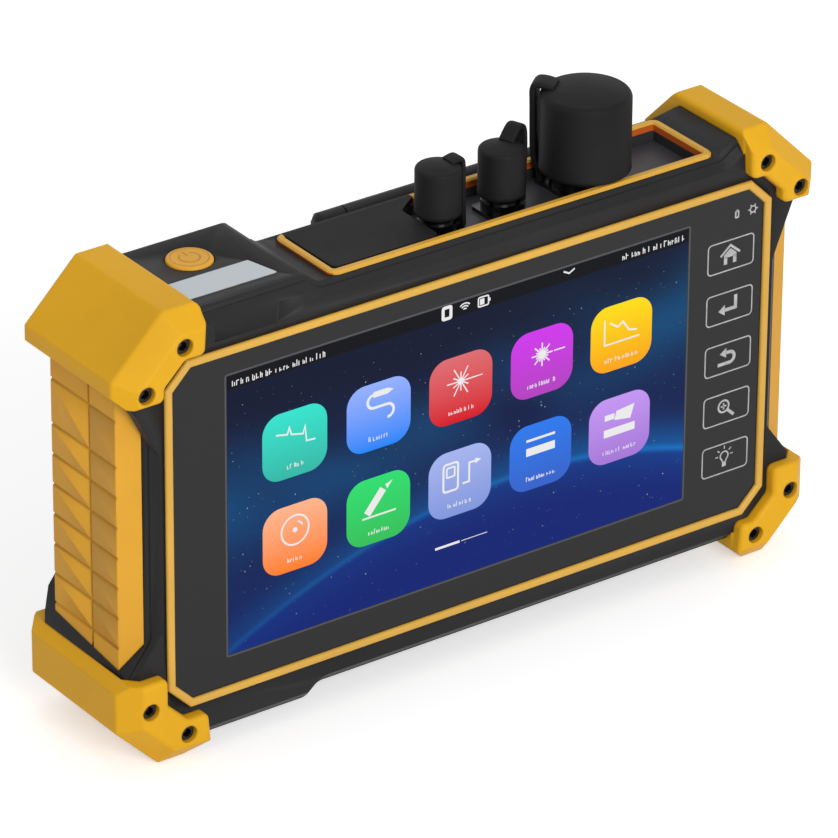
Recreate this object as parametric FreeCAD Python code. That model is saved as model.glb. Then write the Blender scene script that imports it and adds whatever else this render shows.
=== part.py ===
import FreeCAD, Part
import math
import os

# Handheld optical time domain reflectometer: a tablet-shaped tester that
# stands on its corner bumpers. X runs to the right, the screen faces -Y and
# Z is up. The origin is the middle of the underside. Millimetres.

# ---- overall sizes -------------------------------------------------------
overall_width = 234.6
overall_height = 136.6
overall_depth = 52.8

# ---- housing -------------------------------------------------------------
bumper_side_wall = 3.3
bumper_top_wall = 3.2
bumper_face_wall = 3.9
bumper_corner_leg = 16.6
bottom_corner_leg = 13.4
bumper_edge_leg = 5.6
bumper_edge_round = 1.3
housing_corner_leg = 13.7
housing_edge_leg = 3.6
housing_wall = 2.8
seam_depth = 2.5
seam_width = 0.5
seam_groove = 0.45
raised_level_drop = 3.5
raised_right_x = -53.8
step_run = 4.0
step_round = 4.0
right_ramp_start_x = 84.9
right_ramp_run = 5.2
bottom_ramp_run = 3.4
bottom_ramp_gap = 0.6
rear_slope_run = 12.2
rear_slope_gap = 1.4
label_left_x = -85.2
label_right_x = -64.4
label_height = 8.8
label_recess = 0.4
label_rise = 2.6
label_round = 1.0
cavity_half_width = 103.0
cavity_bottom_z = 10.0
cavity_top_z = 116.0
back_wall = 5.6
lip_gap = 0.2
lip_rise = 5.0

# ---- bumpers -------------------------------------------------------------
bumper_inner_x = 89.6
right_inner_x = 91.5
bumper_top_round = 1.6
top_bumper_drop = 24.0
bottom_bumper_rise = 28.6
bumper_end_leg = 3.0
foot_inner_x = 96.5
foot_inner_rise = 4.7
flange_notch_x = 96.8
flange_notch_side_x = 103.4
flange_inner_drop = 13.6
flange_notch_leg = 6.4
flange_round = 2.0
flange_lean = 0.8
flange_edge_round = 1.5
right_bumper_slope_gap = 3.8
screw_a_x = 97.2
screw_a_from_edge = 9.4
screw_b_x = 109.3
screw_b_from_edge = 20.2
screw_head_d = 4.5
screw_head_h = 2.3
screw_shank_d = 2.5
screw_length = 12.0
screw_sink = 1.2
hole_gap = 0.3
shank_gap = 0.05
screw_tip_room = 3.0

# ---- screen --------------------------------------------------------------
trim_width = 2.4
trim_proud = 1.0
trim_half_width = 101.6
trim_half_height = 52.9
trim_corner_leg = 7.2
trim_edge_round = 0.8
glass_thickness = 1.8
glass_ledge = 3.4
window_extra_height = 1.6
window_corner_leg = 3.0
display_width = 164.0
display_height = 94.0
display_thickness = 3.6
display_centre_x = -4.4
board_standoff = 4.4
sheet_thickness = 1.0
chassis_half_width = 95.2
chassis_bottom_z = 20.0
chassis_top_z = 107.0
chassis_rim = 12.0
chassis_edge = 4.0
boss_left_x = -28.0
boss_right_x = 92.0
boss_inset = 6.0
boss_d = 7.0
module_left_x = -8.0
module_right_x = 78.0
module_bottom_z = 28.0
module_top_z = 100.0
module_depth = 14.0
module_round = 3.0
fin_gap_count = 10
fin_pitch = 8.0
fin_gap_width = 3.5
fin_height = 1.0
port_board_size_y = 18.0
display_centre_up = 1.1
key_count = 5
key_pitch = 16.1
key_width = 15.6
key_height = 9.0
key_column_x = 88.2
key_board_thickness = 1.6
key_board_inset = 0.6
key_sensor_size = 4.0
key_sensor_h = 1.0

# ---- side grips ----------------------------------------------------------
grip_outer_x = 112.7
grip_front_x = 106.6
grip_front_inset = 3.65
grip_bevel_inset = 7.0
grip_thickness = 1.5
grip_bed_gap = 0.05
grip_end_gap = 0.25
grip_top_z = 108.0
grip_bottom_z = 29.0
grip_end_slope = 1.36
grip_top_lean = 0.08
grip_bottom_lean = 0.14
grip_groove_pitch = 9.2
grip_groove_count = 8
grip_groove_width = 1.3
grip_groove_depth = 0.8
grip_long_groove_y = -3.0

# ---- top: tray, ports, caps ----------------------------------------------
tray_left_x = -45.1
tray_right_x = 84.4
tray_front_inset = 3.6
tray_size_y = 27.8
tray_ring_width = 2.4
tray_ring_proud = 1.0
tray_depth = 4.4
tray_floor = 2.0
port_gap = 0.1
socket_proud = 0.4
jack_bore_d = 6.4
jack_pin_d = 2.0
jack_depth = 8.0
jack_pin_drop = 1.5
tray_corner_round = 3.0
tray_inner_round = 0.6
tray_ring_bevel = 0.5
port_from_front = 13.4
port_1_x = -0.6
port_2_x = 20.6
port_3_x = 49.2
small_cap_d = 13.2
small_cap_h = 13.4
large_cap_d = 25.9
large_cap_h = 23.2
cap_lift = 7.2
cap_gap = 0.3
small_barrel_d = 9.6
large_barrel_d = 18.0
small_barrel_rise = 4.0
large_barrel_rise = 9.0
barrel_drop = 9.0
adapter_flange_h = 1.2
adapter_flange_margin = 1.2
adapter_flange_round = 1.2
collar_h = 2.6
collar_margin = 0.8
keyway_width = 2.2
keyway_depth = 3.0
sleeve_wall = 0.85
sleeve_drop = 1.0
adapter_well_d = 7.4
ferrule_bore_d = 2.5
ferrule_depth = 9.0
tether_width = 5.0
tether_thickness = 1.4
tether_offset = 1.2
tether_reach = 2.6
tether_gap = 0.55
tether_foot_gap = 1.0
tether_bend = 1.0
tether_side = [1, 1, -1]
anchor_d = 3.0
cap_crown_round = 1.9
large_cap_crown_round = 2.6
cap_roof = 3.2
cover_back_right_x = -0.6
cover_thickness = 2.0
cover_gap = 0.3
cover_pin_d = 1.2
cover_pin_length = 0.8
cover_leg = 2.0
cover_pin_gap = 0.05
cover_corner_round = 2.0
cover_clearance = 0.5

# ---- power button, strip plate -------------------------------------------
button_x = -74.2
button_from_front = 28.3
button_d = 13.2
button_proud = 0.6
button_travel = 0.5
button_gap = 0.35
button_height = 4.2
button_edge_round = 0.9
button_well_depth = 5.5
stem_d = 4.0
stem_hole_d = 5.0
stem_drop = 1.4
switch_gap = 0.3
switch_size = 6.2
switch_h = 2.8
plunger_d = 3.0
plunger_h = 0.6
switch_board_x = 18.0
switch_board_y = 16.0
board_thickness = 1.6
strip_right_x = -59.2
strip_from_front = 8.4
strip_size_y = 10.5
strip_slant = 2.6
strip_thickness = 0.8
strip_proud = 0.15
strip_tuck = 2.0
strip_gap = 0.05

# ---- back: stand, battery bay --------------------------------------------
stand_left_x = -24.5
stand_right_x = 62.0
stand_barrel_d = 6.0
stand_barrel_share = 0.566
stand_barrel_lift = 1.98
stand_knuckle = 9.0
stand_pin_d = 2.6
stand_pin_inset = 2.0
pin_press_gap = 0.02
pin_run_gap = 0.1
stand_leaf_thickness = 2.6
stand_leaf_bottom_z = 34.0
stand_gap = 0.4
stand_taper = 6.0
stand_notch_width = 14.0
stand_notch_slant = 4.0
stand_notch_h = 5.0
stand_finger_room = 1.4
stand_ear_bevel = 1.2
stand_foot_inset = 0.4
stand_foot_h = 8.0
stand_panel_count = 3
stand_panel_z = 56.0
stand_panel_pitch = 18.0
stand_panel_height = 6.0
stand_panel_depth = 0.7
stand_panel_inset = 12.0
battery_left_x = -98.0
battery_right_x = -38.0
battery_bottom_z = 26.0
battery_top_z = 104.0
battery_depth = 15.6
battery_room = 1.2
battery_gap = 0.5
bay_wall = 1.6
door_lip = 3.0
door_end_lip = 5.0
door_screw_inset = 2.2
door_thickness = 2.4
door_gap = 0.25
door_round = 2.0
door_groove_count = 5
door_groove_drop = 14.0
door_groove_pitch = 3.0
door_groove_height = 1.4
door_groove_depth = 0.8
door_groove_inset = 18.75
door_screw_head_h = 1.4
door_screw_length = 5.2
battery_round = 3.0
housing_screw_x = 68.0
housing_screw_middle_x = 14.0
housing_screw_right_x = 90.0
housing_screw_top_x = 84.0
housing_screw_inset = 5.0
housing_screw_rise = 3.0
housing_screw_drop = 4.0
housing_screw_sink = 0.7
pillar_d = 7.0

# ---- worked-out places ---------------------------------------------------
V = FreeCAD.Vector
half_width = overall_width / 2
half_depth = overall_depth / 2
body_half_width = half_width - bumper_side_wall
face_y = -(half_depth - bumper_face_wall)
back_y = -face_y
seam_y = face_y + seam_depth
raised_top_z = overall_height - bumper_top_wall
low_top_z = raised_top_z - raised_level_drop
foot_z = bumper_top_wall
low_bottom_z = foot_z + raised_level_drop
middle_z = overall_height / 2
chassis_y = face_y + glass_thickness + display_thickness
board_y = chassis_y + board_standoff
cavity_back_y = back_y - back_wall
tray_front_y = face_y + tray_front_inset
tray_back_y = tray_front_y + tray_size_y
tray_floor_z = low_top_z - tray_depth
tray_top_z = low_top_z + tray_ring_proud
port_y = tray_front_y + port_from_front
port_x = [port_1_x, port_2_x, port_3_x]
cap_d = [small_cap_d, small_cap_d, large_cap_d]
cap_h = [small_cap_h, small_cap_h, large_cap_h]
cap_crown = [cap_crown_round, cap_crown_round, large_cap_crown_round]
barrel_d = [small_barrel_d, small_barrel_d, large_barrel_d]
barrel_rise = [small_barrel_rise, small_barrel_rise, large_barrel_rise]
cover_left_x = tray_left_x + tray_ring_width + cover_gap
cover_z = tray_top_z - cover_thickness
cover_right_x = port_1_x - small_cap_d / 2 - cover_clearance
button_y = face_y + button_from_front
strip_front_y = face_y + strip_from_front
strip_back_y = strip_front_y + strip_size_y
shank_hole_d = screw_shank_d + 2 * shank_gap
head_hole_d = screw_head_d + 2 * hole_gap
bay_back_y = back_y - door_thickness
bay_front_y = bay_back_y - battery_depth - battery_room

# The upper back slopes from the top behind the tray down to the back face.
# The stand's barrel lies a share of the way down it, lifted square to it.
slope_start_y = tray_back_y + rear_slope_gap
slope_end_z = low_top_z - rear_slope_run
slope = V(0, back_y - slope_start_y, slope_end_z - low_top_z)
slope_normal = V(0, -slope.z, slope.y).normalize()
barrel = V(0, slope_start_y, low_top_z) + slope * stand_barrel_share + slope_normal * stand_barrel_lift
stand_barrel_y = barrel.y
stand_barrel_z = barrel.z


# ---- building blocks -----------------------------------------------------
def block(x0, x1, y0, y1, z0, z1):
    return Part.makeBox(x1 - x0, y1 - y0, z1 - z0, V(x0, y0, z0))


def rod(start, direction, diameter, length):
    return Part.makeCylinder(diameter / 2, length, V(*start), V(*direction))


def outline(points):
    """Closed wire through (u, v) or (u, v, radius) points; a radius rounds
    that corner with an arc tangent to both of its sides."""
    count = len(points)
    corners = []
    for i, point in enumerate(points):
        here = V(point[0], point[1], 0)
        radius = point[2] if len(point) > 2 else 0
        before = V(points[i - 1][0], points[i - 1][1], 0)
        after = V(points[(i + 1) % count][0], points[(i + 1) % count][1], 0)
        if radius == 0:
            corners.append([here])
            continue
        to_before = (before - here).normalize()
        to_after = (after - here).normalize()
        half_angle = to_before.getAngle(to_after) / 2
        reach = radius / math.tan(half_angle)
        bisector = (to_before + to_after).normalize()
        centre = here + bisector * (radius / math.sin(half_angle))
        corners.append([here + to_before * reach, centre - bisector * radius,
                        here + to_after * reach])
    edges = []
    for i, corner in enumerate(corners):
        if len(corner) == 3:
            edges.append(Part.Arc(*corner).toShape())
        start = corner[-1]
        end = corners[(i + 1) % count][0]
        if start.distanceToPoint(end) > 1e-6:
            edges.append(Part.LineSegment(start, end).toShape())
    return Part.Wire(edges)


def prism(points, plane, low, high):
    """Outline drawn in the XZ, XY or YZ plane and carried from low to high
    along the axis that is left."""
    face = Part.Face(outline(points))
    if plane == "XY":
        face.translate(V(0, 0, low))
        return face.extrude(V(0, 0, high - low))
    if plane == "XZ":
        face.rotate(V(0, 0, 0), V(1, 0, 0), 90)
        face.translate(V(0, low, 0))
        return face.extrude(V(0, high - low, 0))
    face.rotate(V(0, 0, 0), V(1, 1, 1), 120)
    face.translate(V(low, 0, 0))
    return face.extrude(V(high - low, 0, 0))


def edges_where(shape, test):
    return [edge for edge in shape.Edges if test(edge.BoundBox, edge)]


def lies_at_y(box, y):
    return abs(box.YMin - y) < 1e-4 and abs(box.YMax - y) < 1e-4


def lies_at_z(box, z):
    return abs(box.ZMin - z) < 1e-4 and abs(box.ZMax - z) < 1e-4


def octagon(half_x, half_z, leg):
    """Corner-cut rectangle about the middle of the height."""
    return [(-half_x, middle_z - half_z + leg), (-half_x + leg, middle_z - half_z),
            (half_x - leg, middle_z - half_z), (half_x, middle_z - half_z + leg),
            (half_x, middle_z + half_z - leg), (half_x - leg, middle_z + half_z),
            (-half_x + leg, middle_z + half_z), (-half_x, middle_z + half_z - leg)]


def save(name, shape):
    shape = shape.removeSplitter() if len(shape.Solids) == 1 else shape
    solids = shape.Solids
    result = solids[0] if len(solids) == 1 else Part.makeCompound(solids)
    result.exportStep("parts/%s.step" % name)
    print("%-24s solids %d  volume %.0f  valid %s" % (
        name, len(solids), result.Volume, result.isValid()))


# ---- housing -------------------------------------------------------------
def rear_slope(lift, x0, x1):
    """What lies behind the sloping upper back, lifted square to the slope."""
    start = V(0, slope_start_y, low_top_z) + slope_normal * lift
    high = start - slope
    low = start + slope * 2
    far_y = 2 * overall_depth
    return prism([(high.y, high.z), (far_y, high.z), (far_y, low.z), (low.y, low.z)],
                 "YZ", x0, x1)


def housing_body():
    """Both shells as one solid: the outline with its raised left end, the
    lower port level with a ramp at its right, and the sloping upper back."""
    w = body_half_width
    leg = housing_corner_leg
    low_x = raised_right_x + step_run
    ramp_x = right_ramp_start_x + right_ramp_run
    foot_x = right_inner_x + bottom_ramp_gap
    points = [
        (-w, foot_z + leg),
        (-w + leg, foot_z),
        (raised_right_x, foot_z, step_round),
        (low_x, low_bottom_z, step_round),
        (foot_x, low_bottom_z),
        (foot_x + bottom_ramp_run, foot_z),
        (w - leg, foot_z),
        (w, foot_z + leg),
        (w, raised_top_z - leg),
        (w - leg, raised_top_z),
        (ramp_x, raised_top_z),
        (right_ramp_start_x, low_top_z, step_round),
        (low_x, low_top_z, step_round),
        (raised_right_x, raised_top_z, step_round),
        (-w + leg, raised_top_z),
        (-w, raised_top_z - leg),
    ]
    body = prism(points, "XZ", face_y, back_y)
    rims = edges_where(body, lambda box, edge:
                       lies_at_y(box, face_y) or lies_at_y(box, back_y))
    body = body.makeChamfer(housing_edge_leg, rims).Solids[0]
    return body.cut(rear_slope(0, raised_right_x, half_width))


def grip_profile(inset_x, inset_y):
    """Half section of a grip seen from above, front half first, moved
    inwards by the given amounts."""
    front_x = grip_front_x - inset_x * 0.5
    outer_x = grip_outer_x - inset_x
    front = face_y + grip_front_inset + inset_y
    bevel = face_y + grip_bevel_inset + inset_y * 0.5
    return [(front_x, front), (outer_x, bevel), (outer_x, -bevel), (front_x, -front)]


def grip_blank(x_in, x_out, shrink):
    """Room of a grip between its two ends, which lean outwards as the side
    does and run up a little towards the back."""
    def corner(x, y, base, slope, lean):
        return V(x, y, base + slope * (grip_outer_x - x)
                 + lean * (y - face_y - grip_bevel_inset))

    def quad(y):
        low = [corner(x, y, grip_bottom_z + shrink, grip_end_slope, grip_bottom_lean)
               for x in (x_in, x_out)]
        high = [corner(x, y, grip_top_z - shrink, -grip_end_slope, grip_top_lean)
                for x in (x_out, x_in)]
        return low + high
    near = quad(face_y - 3)
    far = quad(back_y + 3)
    faces = [near[::-1], far]
    for i in range(4):
        j = (i + 1) % 4
        faces.append([near[i], near[j], far[j], far[i]])
    faces = [Part.Face(Part.makePolygon(points + [points[0]])) for points in faces]
    return Part.Solid(Part.Shell(faces))


def grip_bed():
    """What is taken off the housing's side under the right-hand grip."""
    section = grip_profile(grip_thickness, grip_thickness * 0.8)
    reach = body_half_width + 4
    flat_x = grip_front_x - grip_front_inset
    floor = [(flat_x - 2, face_y - 2), (reach, face_y - 2), (reach, back_y + 2),
             (flat_x - 2, back_y + 2), (flat_x, back_y),
             (grip_front_x, -(face_y + grip_front_inset)),
             section[3], section[2], section[1], section[0],
             (grip_front_x, face_y + grip_front_inset), (flat_x, face_y)]
    cut = prism(floor, "XY", 0, overall_height)
    return cut.common(grip_blank(flat_x - 2, reach, 0))


def mirrored(shape):
    return shape.mirror(V(0, 0, 0), V(1, 0, 0))


def screw_places(front):
    """Front view places of the bumper screws, two to each corner; at the
    back the slope takes one of them at the top right."""
    places = []
    for side in (-1, 1):
        for base, sign in ((0, 1), (overall_height, -1)):
            places.append((side * screw_a_x, base + sign * screw_a_from_edge))
            places.append((side * screw_b_x, base + sign * screw_b_from_edge))
    return places if front else places[:-2] + places[-1:]


def screw_holes(diameter, face, depth):
    direction = 1 if face < 0 else -1
    return [rod((x, face, z), (0, direction, 0), diameter, depth)
            for x, z in screw_places(face < 0)]


def full_housing(body):
    """Housing solid with grip beds and bumper screw holes, before its split
    into shells."""
    body = body.cut([grip_bed(), mirrored(grip_bed())])
    reach = screw_length - bumper_face_wall + screw_tip_room
    holes = screw_holes(shank_hole_d, face_y - 1, reach + 1)
    holes += screw_holes(shank_hole_d, back_y + 1, reach + 1)
    return body.cut(holes)


def seam_ring(body):
    """Shallow groove all round where the two shells meet."""
    band = block(-half_width, half_width, seam_y - seam_width / 2,
                 seam_y + seam_width / 2, 0, overall_height)
    slice_of_body = band.common(body)
    section = slice_of_body.Faces[0]
    for face in slice_of_body.Faces:
        if lies_at_y(face.BoundBox, seam_y - seam_width / 2):
            section = face
    core = section.OuterWire.makeOffset2D(-seam_groove)
    core = Part.Face(core).extrude(V(0, seam_width, 0))
    return band.cut(core)


def screen_opening():
    """Steps in the front shell for the trim, the glass and what is bonded
    behind the glass."""
    trim_hole = prism(octagon(trim_half_width, trim_half_height, trim_corner_leg),
                      "XZ", face_y - 1, face_y + glass_thickness)
    inner_x = trim_half_width - trim_width - glass_ledge
    inner_z = trim_half_height - trim_width - glass_ledge + window_extra_height
    window = prism(octagon(inner_x, inner_z, window_corner_leg), "XZ", face_y, board_y)
    return [trim_hole, window]


def front_housing(body):
    shell = body.common(block(-half_width, half_width, face_y - 1, seam_y,
                              0, overall_height))
    lip_x = cavity_half_width - lip_gap
    lip = block(-lip_x, lip_x, seam_y, chassis_y,
                cavity_bottom_z + lip_gap, cavity_top_z + lip_rise)
    shell = shell.fuse(lip)
    shell = shell.cut(screen_opening() + housing_screw_holes()
                      + screw_holes(shank_hole_d, face_y - 1, screw_length))
    label_top_z = low_top_z + label_rise
    plate = prism([(label_left_x, label_top_z - label_height),
                   (label_right_x, label_top_z - label_height, label_round),
                   (label_right_x, label_top_z, label_round),
                   (label_left_x, label_top_z)],
                  "XZ", face_y - 1, face_y + label_recess)
    return shell.cut(plate)


def rear_housing(body):
    shell = body.common(block(-half_width, half_width, seam_y, half_depth,
                              0, overall_height))
    cavity = block(-cavity_half_width, cavity_half_width, seam_y - 1,
                   cavity_back_y, cavity_bottom_z, cavity_top_z)
    lip_room = block(-cavity_half_width, cavity_half_width, seam_y - 1,
                     chassis_y + lip_gap, cavity_bottom_z,
                     cavity_top_z + lip_rise + lip_gap)
    shell = shell.cut([cavity, lip_room])
    shell = shell.fuse(battery_bay_walls())
    shell = shell.fuse(boss_solids() + housing_screw_pillars())
    shell = shell.cut(battery_bay_space())
    shell = shell.cut(tray_space())
    shell = shell.cut(button_space())
    shell = shell.cut(strip_space())
    shell = shell.cut(stand_space())
    shell = shell.fuse(stand_knuckles())
    pin_hole = rod((stand_left_x + stand_pin_inset, stand_barrel_y, stand_barrel_z),
                   (1, 0, 0), stand_pin_d + 2 * pin_press_gap,
                   stand_right_x - stand_left_x - stand_pin_inset)
    return shell.cut(housing_screw_holes() + [pin_hole])


# ---- tray at the top -----------------------------------------------------
def tray_outline(inset):
    r = max(tray_corner_round - inset, tray_inner_round)
    x0 = tray_left_x + inset
    x1 = tray_right_x - inset
    y0 = tray_front_y + inset
    y1 = tray_back_y - inset
    return [(x0, y0, r), (x1, y0, r), (x1, y1, r), (x0, y1, r)]


def tray_space():
    """Pocket for the ring and the floor, then the room below for the ports."""
    pocket = prism(tray_outline(0), "XY", tray_floor_z - tray_floor, overall_height)
    inner = prism(tray_outline(tray_ring_width), "XY", cavity_top_z - 1,
                  tray_floor_z)
    return [pocket, inner]


def tray_trim():
    """Ring round the tray, lowered along the back for the cover's edge, with
    the two holes that the cover's hinge pins turn in."""
    ring = prism(tray_outline(0), "XY", tray_floor_z, tray_top_z)
    ring = ring.cut(prism(tray_outline(tray_ring_width), "XY", tray_floor_z - 1,
                          tray_top_z + 1))
    rims = edges_where(ring, lambda box, edge: lies_at_z(box, tray_top_z))
    ring = ring.makeChamfer(tray_ring_bevel, rims)
    notch = block(cover_left_x - cover_gap, cover_back_right_x + cover_gap,
                  tray_back_y - tray_ring_width - cover_gap, tray_back_y + 1,
                  cover_z - cover_gap, tray_top_z + 1)
    return ring.cut([notch, cover_pins(cover_pin_gap, 2 * cover_pin_gap)])


def port_tray():
    """Grey floor of the tray with the holes that the ports come through."""
    floor = prism(tray_outline(0), "XY", tray_floor_z - tray_floor, tray_floor_z)
    cuts = []
    for x, diameter in zip(port_x, barrel_d):
        cuts.append(rod((x, port_y, tray_floor_z - tray_floor - 1), (0, 0, 1),
                        diameter + 2 * port_gap, tray_floor + 2))
    for name in sorted(socket_sizes):
        cuts.append(socket_block(name, port_gap, tray_floor_z + 1))
    return floor.cut(cuts)


# name: centre x, size along x, size along y, height below the rim
socket_sizes = {
    "dc_jack": (-36.2, 8.6, 9.4, 10.0),
    "usb_socket": (-26.6, 7.4, 14.6, 9.0),
    "network_socket": (-14.0, 13.6, 16.2, 9.4),
}
socket_top_z = tray_floor_z + socket_proud


def socket_block(name, gap, top):
    """Outer block of a socket, or with a gap the room that it takes."""
    x, size_x, size_y, height = socket_sizes[name]
    return block(x - size_x / 2 - gap, x + size_x / 2 + gap, port_y - size_y / 2 - gap,
                 port_y + size_y / 2 + gap, socket_top_z - height - gap, top)


def socket_cut(name, x0, x1, half_y, depth):
    """Opening of a socket, down from its rim, between two offsets along X."""
    x = socket_sizes[name][0]
    return block(x + x0, x + x1, port_y - half_y, port_y + half_y,
                 socket_top_z - depth, socket_top_z + 1)


def dc_jack():
    """Barrel jack: a plain bore with its contact pin."""
    x = socket_sizes["dc_jack"][0]
    bore = rod((x, port_y, socket_top_z - jack_depth), (0, 0, 1), jack_bore_d,
               jack_depth + 1)
    pin = rod((x, port_y, socket_top_z - jack_depth), (0, 0, 1), jack_pin_d,
              jack_depth - jack_pin_drop)
    return socket_block("dc_jack", 0, socket_top_z).cut(bore).fuse(pin)


def usb_socket():
    """Metal shell with the contact tongue along one side."""
    mouth = socket_cut("usb_socket", -2.6, 2.6, 6.3, 8.0)
    tongue = socket_cut("usb_socket", 0.1, 1.9, 5.4, 8.0)
    tongue = tongue.common(socket_block("usb_socket", 0, socket_top_z - 1.0))
    return socket_block("usb_socket", 0, socket_top_z).cut(mouth).fuse(tongue)


def network_socket():
    """Eight-way socket: the plug's mouth, then the steps of its latch."""
    mouth = socket_cut("network_socket", -4.4, 3.4, 5.9, 8.4)
    latch_room = socket_cut("network_socket", 3.3, 5.2, 3.1, 8.4)
    latch_slot = socket_cut("network_socket", 5.1, 6.2, 1.7, 8.4)
    shell = socket_block("network_socket", 0, socket_top_z)
    return shell.cut([mouth, latch_room, latch_slot])


def cover_pins(gap, extra):
    """The cover's two hinge pins, or with gaps the holes that they turn in."""
    y = tray_back_y - cover_gap - cover_thickness / 2
    z = cover_z + cover_thickness / 2
    length = cover_pin_length + cover_gap + extra
    left = rod((cover_left_x, y, z), (-1, 0, 0), cover_pin_d + 2 * gap, length)
    right = rod((cover_back_right_x, y, z), (1, 0, 0), cover_pin_d + 2 * gap, length)
    return left.fuse(right)


def port_cover():
    """Moulded lid over the sockets. Its round back edge is its hinge barrel,
    and its right side keeps clear of the first cap as it swings up."""
    y0 = tray_front_y + tray_ring_width + cover_gap
    y1 = tray_back_y - cover_gap
    bend_y = port_y + small_cap_d / 2 + cover_clearance
    r = cover_corner_round
    lid = prism([(cover_left_x, y0, r), (cover_right_x, y0, r), (cover_right_x, bend_y, r),
                 (cover_back_right_x, y1 - cover_thickness), (cover_back_right_x, y1),
                 (cover_left_x, y1)], "XY", cover_z, tray_top_z)
    back = edges_where(lid, lambda box, edge: lies_at_y(box, y1) and
                       box.ZMax - box.ZMin < 1e-4)
    lid = lid.makeFillet(cover_thickness / 2 - 0.001, back)
    legs = []
    for name in ("usb_socket", "network_socket"):
        x, size_x, size_y, height = socket_sizes[name]
        legs.append(block(x - cover_leg, x, port_y - size_y / 4, port_y + size_y / 4,
                          socket_top_z + cover_gap, cover_z))
    return lid.fuse(legs).fuse(cover_pins(0, 0))


# ---- optical ports -------------------------------------------------------
def adapter(index):
    """Bulkhead adapter: square flange on the tray floor, round barrel above
    and below it, a keyway at the front and the ferrule sleeve in the middle."""
    x = port_x[index]
    diameter = barrel_d[index]
    half = diameter / 2 + adapter_flange_margin
    base_z = tray_floor_z
    top_z = base_z + cap_lift + barrel_rise[index]
    flange = prism([(x - half, port_y - half, adapter_flange_round),
                    (x + half, port_y - half, adapter_flange_round),
                    (x + half, port_y + half, adapter_flange_round),
                    (x - half, port_y + half, adapter_flange_round)],
                   "XY", base_z, base_z + adapter_flange_h)
    tube = rod((x, port_y, base_z - barrel_drop), (0, 0, 1), diameter,
               top_z - base_z + barrel_drop)
    collar = rod((x, port_y, base_z + adapter_flange_h), (0, 0, 1),
                 diameter + 2 * collar_margin, collar_h)
    well = rod((x, port_y, base_z + 1.0), (0, 0, 1), adapter_well_d, top_z - base_z)
    sleeve_top_z = top_z - sleeve_drop
    sleeve = rod((x, port_y, base_z), (0, 0, 1), ferrule_bore_d + 2 * sleeve_wall,
                 sleeve_top_z - base_z)
    bore = rod((x, port_y, sleeve_top_z - ferrule_depth), (0, 0, 1),
               ferrule_bore_d, ferrule_depth + 1)
    keyway = block(x - keyway_width / 2, x + keyway_width / 2, port_y - diameter,
                   port_y - ferrule_bore_d, top_z - keyway_depth, top_z + 1)
    return flange.fuse([tube, collar]).cut(well).fuse(sleeve).cut([bore, keyway])


def dust_cap(index):
    """Moulded rubber cap: a cup with a rounded crown, open below."""
    radius = cap_d[index] / 2
    foot = tray_floor_z + cap_lift
    top = foot + cap_h[index]
    inner = barrel_d[index] / 2 + cap_gap
    roof = top - cap_roof
    section = [(0, top), (radius, top, cap_crown[index]), (radius, foot),
               (inner, foot), (inner, roof), (0, roof)]
    face = Part.Face(outline(section))
    face.rotate(V(0, 0, 0), V(1, 0, 0), 90)
    cup = face.revolve(V(0, 0, 0), V(0, 0, 1), 360)
    cup.translate(V(port_x[index], port_y, 0))
    return cup


def tether(index):
    """Flat strap of a cap: a button anchor on the tray floor, a leg that
    rises close beside the cap, and an arch that turns in over its crown."""
    side = tether_side[index]
    near = port_x[index] + side * (cap_d[index] / 2 + tether_gap)
    far = near + side * tether_thickness
    inward = near - side * tether_reach
    low = tray_floor_z + tether_foot_gap
    under = tray_floor_z + cap_lift + cap_h[index] + cap_gap
    over = under + tether_thickness
    y0 = port_y + tether_offset
    strap = prism([(near, low), (far, low), (far, over, tether_bend + tether_thickness),
                   (inward, over), (inward, under), (near, under, tether_bend)],
                  "XZ", y0, y0 + tether_width)
    anchor = rod((near + side * tether_thickness / 2, y0 + tether_width / 2,
                  tray_floor_z), (0, 0, 1), anchor_d, low - tray_floor_z + 0.4)
    return strap.fuse(anchor)


# ---- bumpers and screws --------------------------------------------------
def bumper_block():
    """Outer form that all four bumpers are cut from: an octagonal block with
    its front and back edges cut at 45 degrees and every edge rounded."""
    points = octagon(half_width, middle_z, bumper_corner_leg)
    foot_leg = bottom_corner_leg
    points[0] = (-half_width, foot_leg)
    points[1] = (-half_width + foot_leg, 0)
    points[2] = (half_width - foot_leg, 0)
    points[3] = (half_width, foot_leg)
    solid = prism(points, "XZ", -half_depth, half_depth)
    rims = edges_where(solid, lambda box, edge:
                       lies_at_y(box, -half_depth) or lies_at_y(box, half_depth))
    solid = solid.makeChamfer(bumper_edge_leg, rims).Solids[0]
    return solid.makeFillet(bumper_edge_round, solid.Edges)


def bumper_end(base, sign, reach):
    """Last points of a right-hand bumper's front view: its end on the side,
    cut at 45 degrees at the outer edge."""
    end_z = base + sign * reach
    over = 5.0
    return [(half_width - bumper_end_leg, end_z),
            (half_width + over, end_z - sign * (bumper_end_leg + over)),
            (half_width + over, base)]


def bumper_start(base, sign, inner_x):
    """First points of a right-hand bumper's front view: the top ones are
    rounded at their inner end, the lower ones cut off on a slant."""
    if sign < 0:
        return [(inner_x, base, bumper_top_round)]
    return [(foot_inner_x, base), (inner_x, base + foot_inner_rise)]


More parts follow.
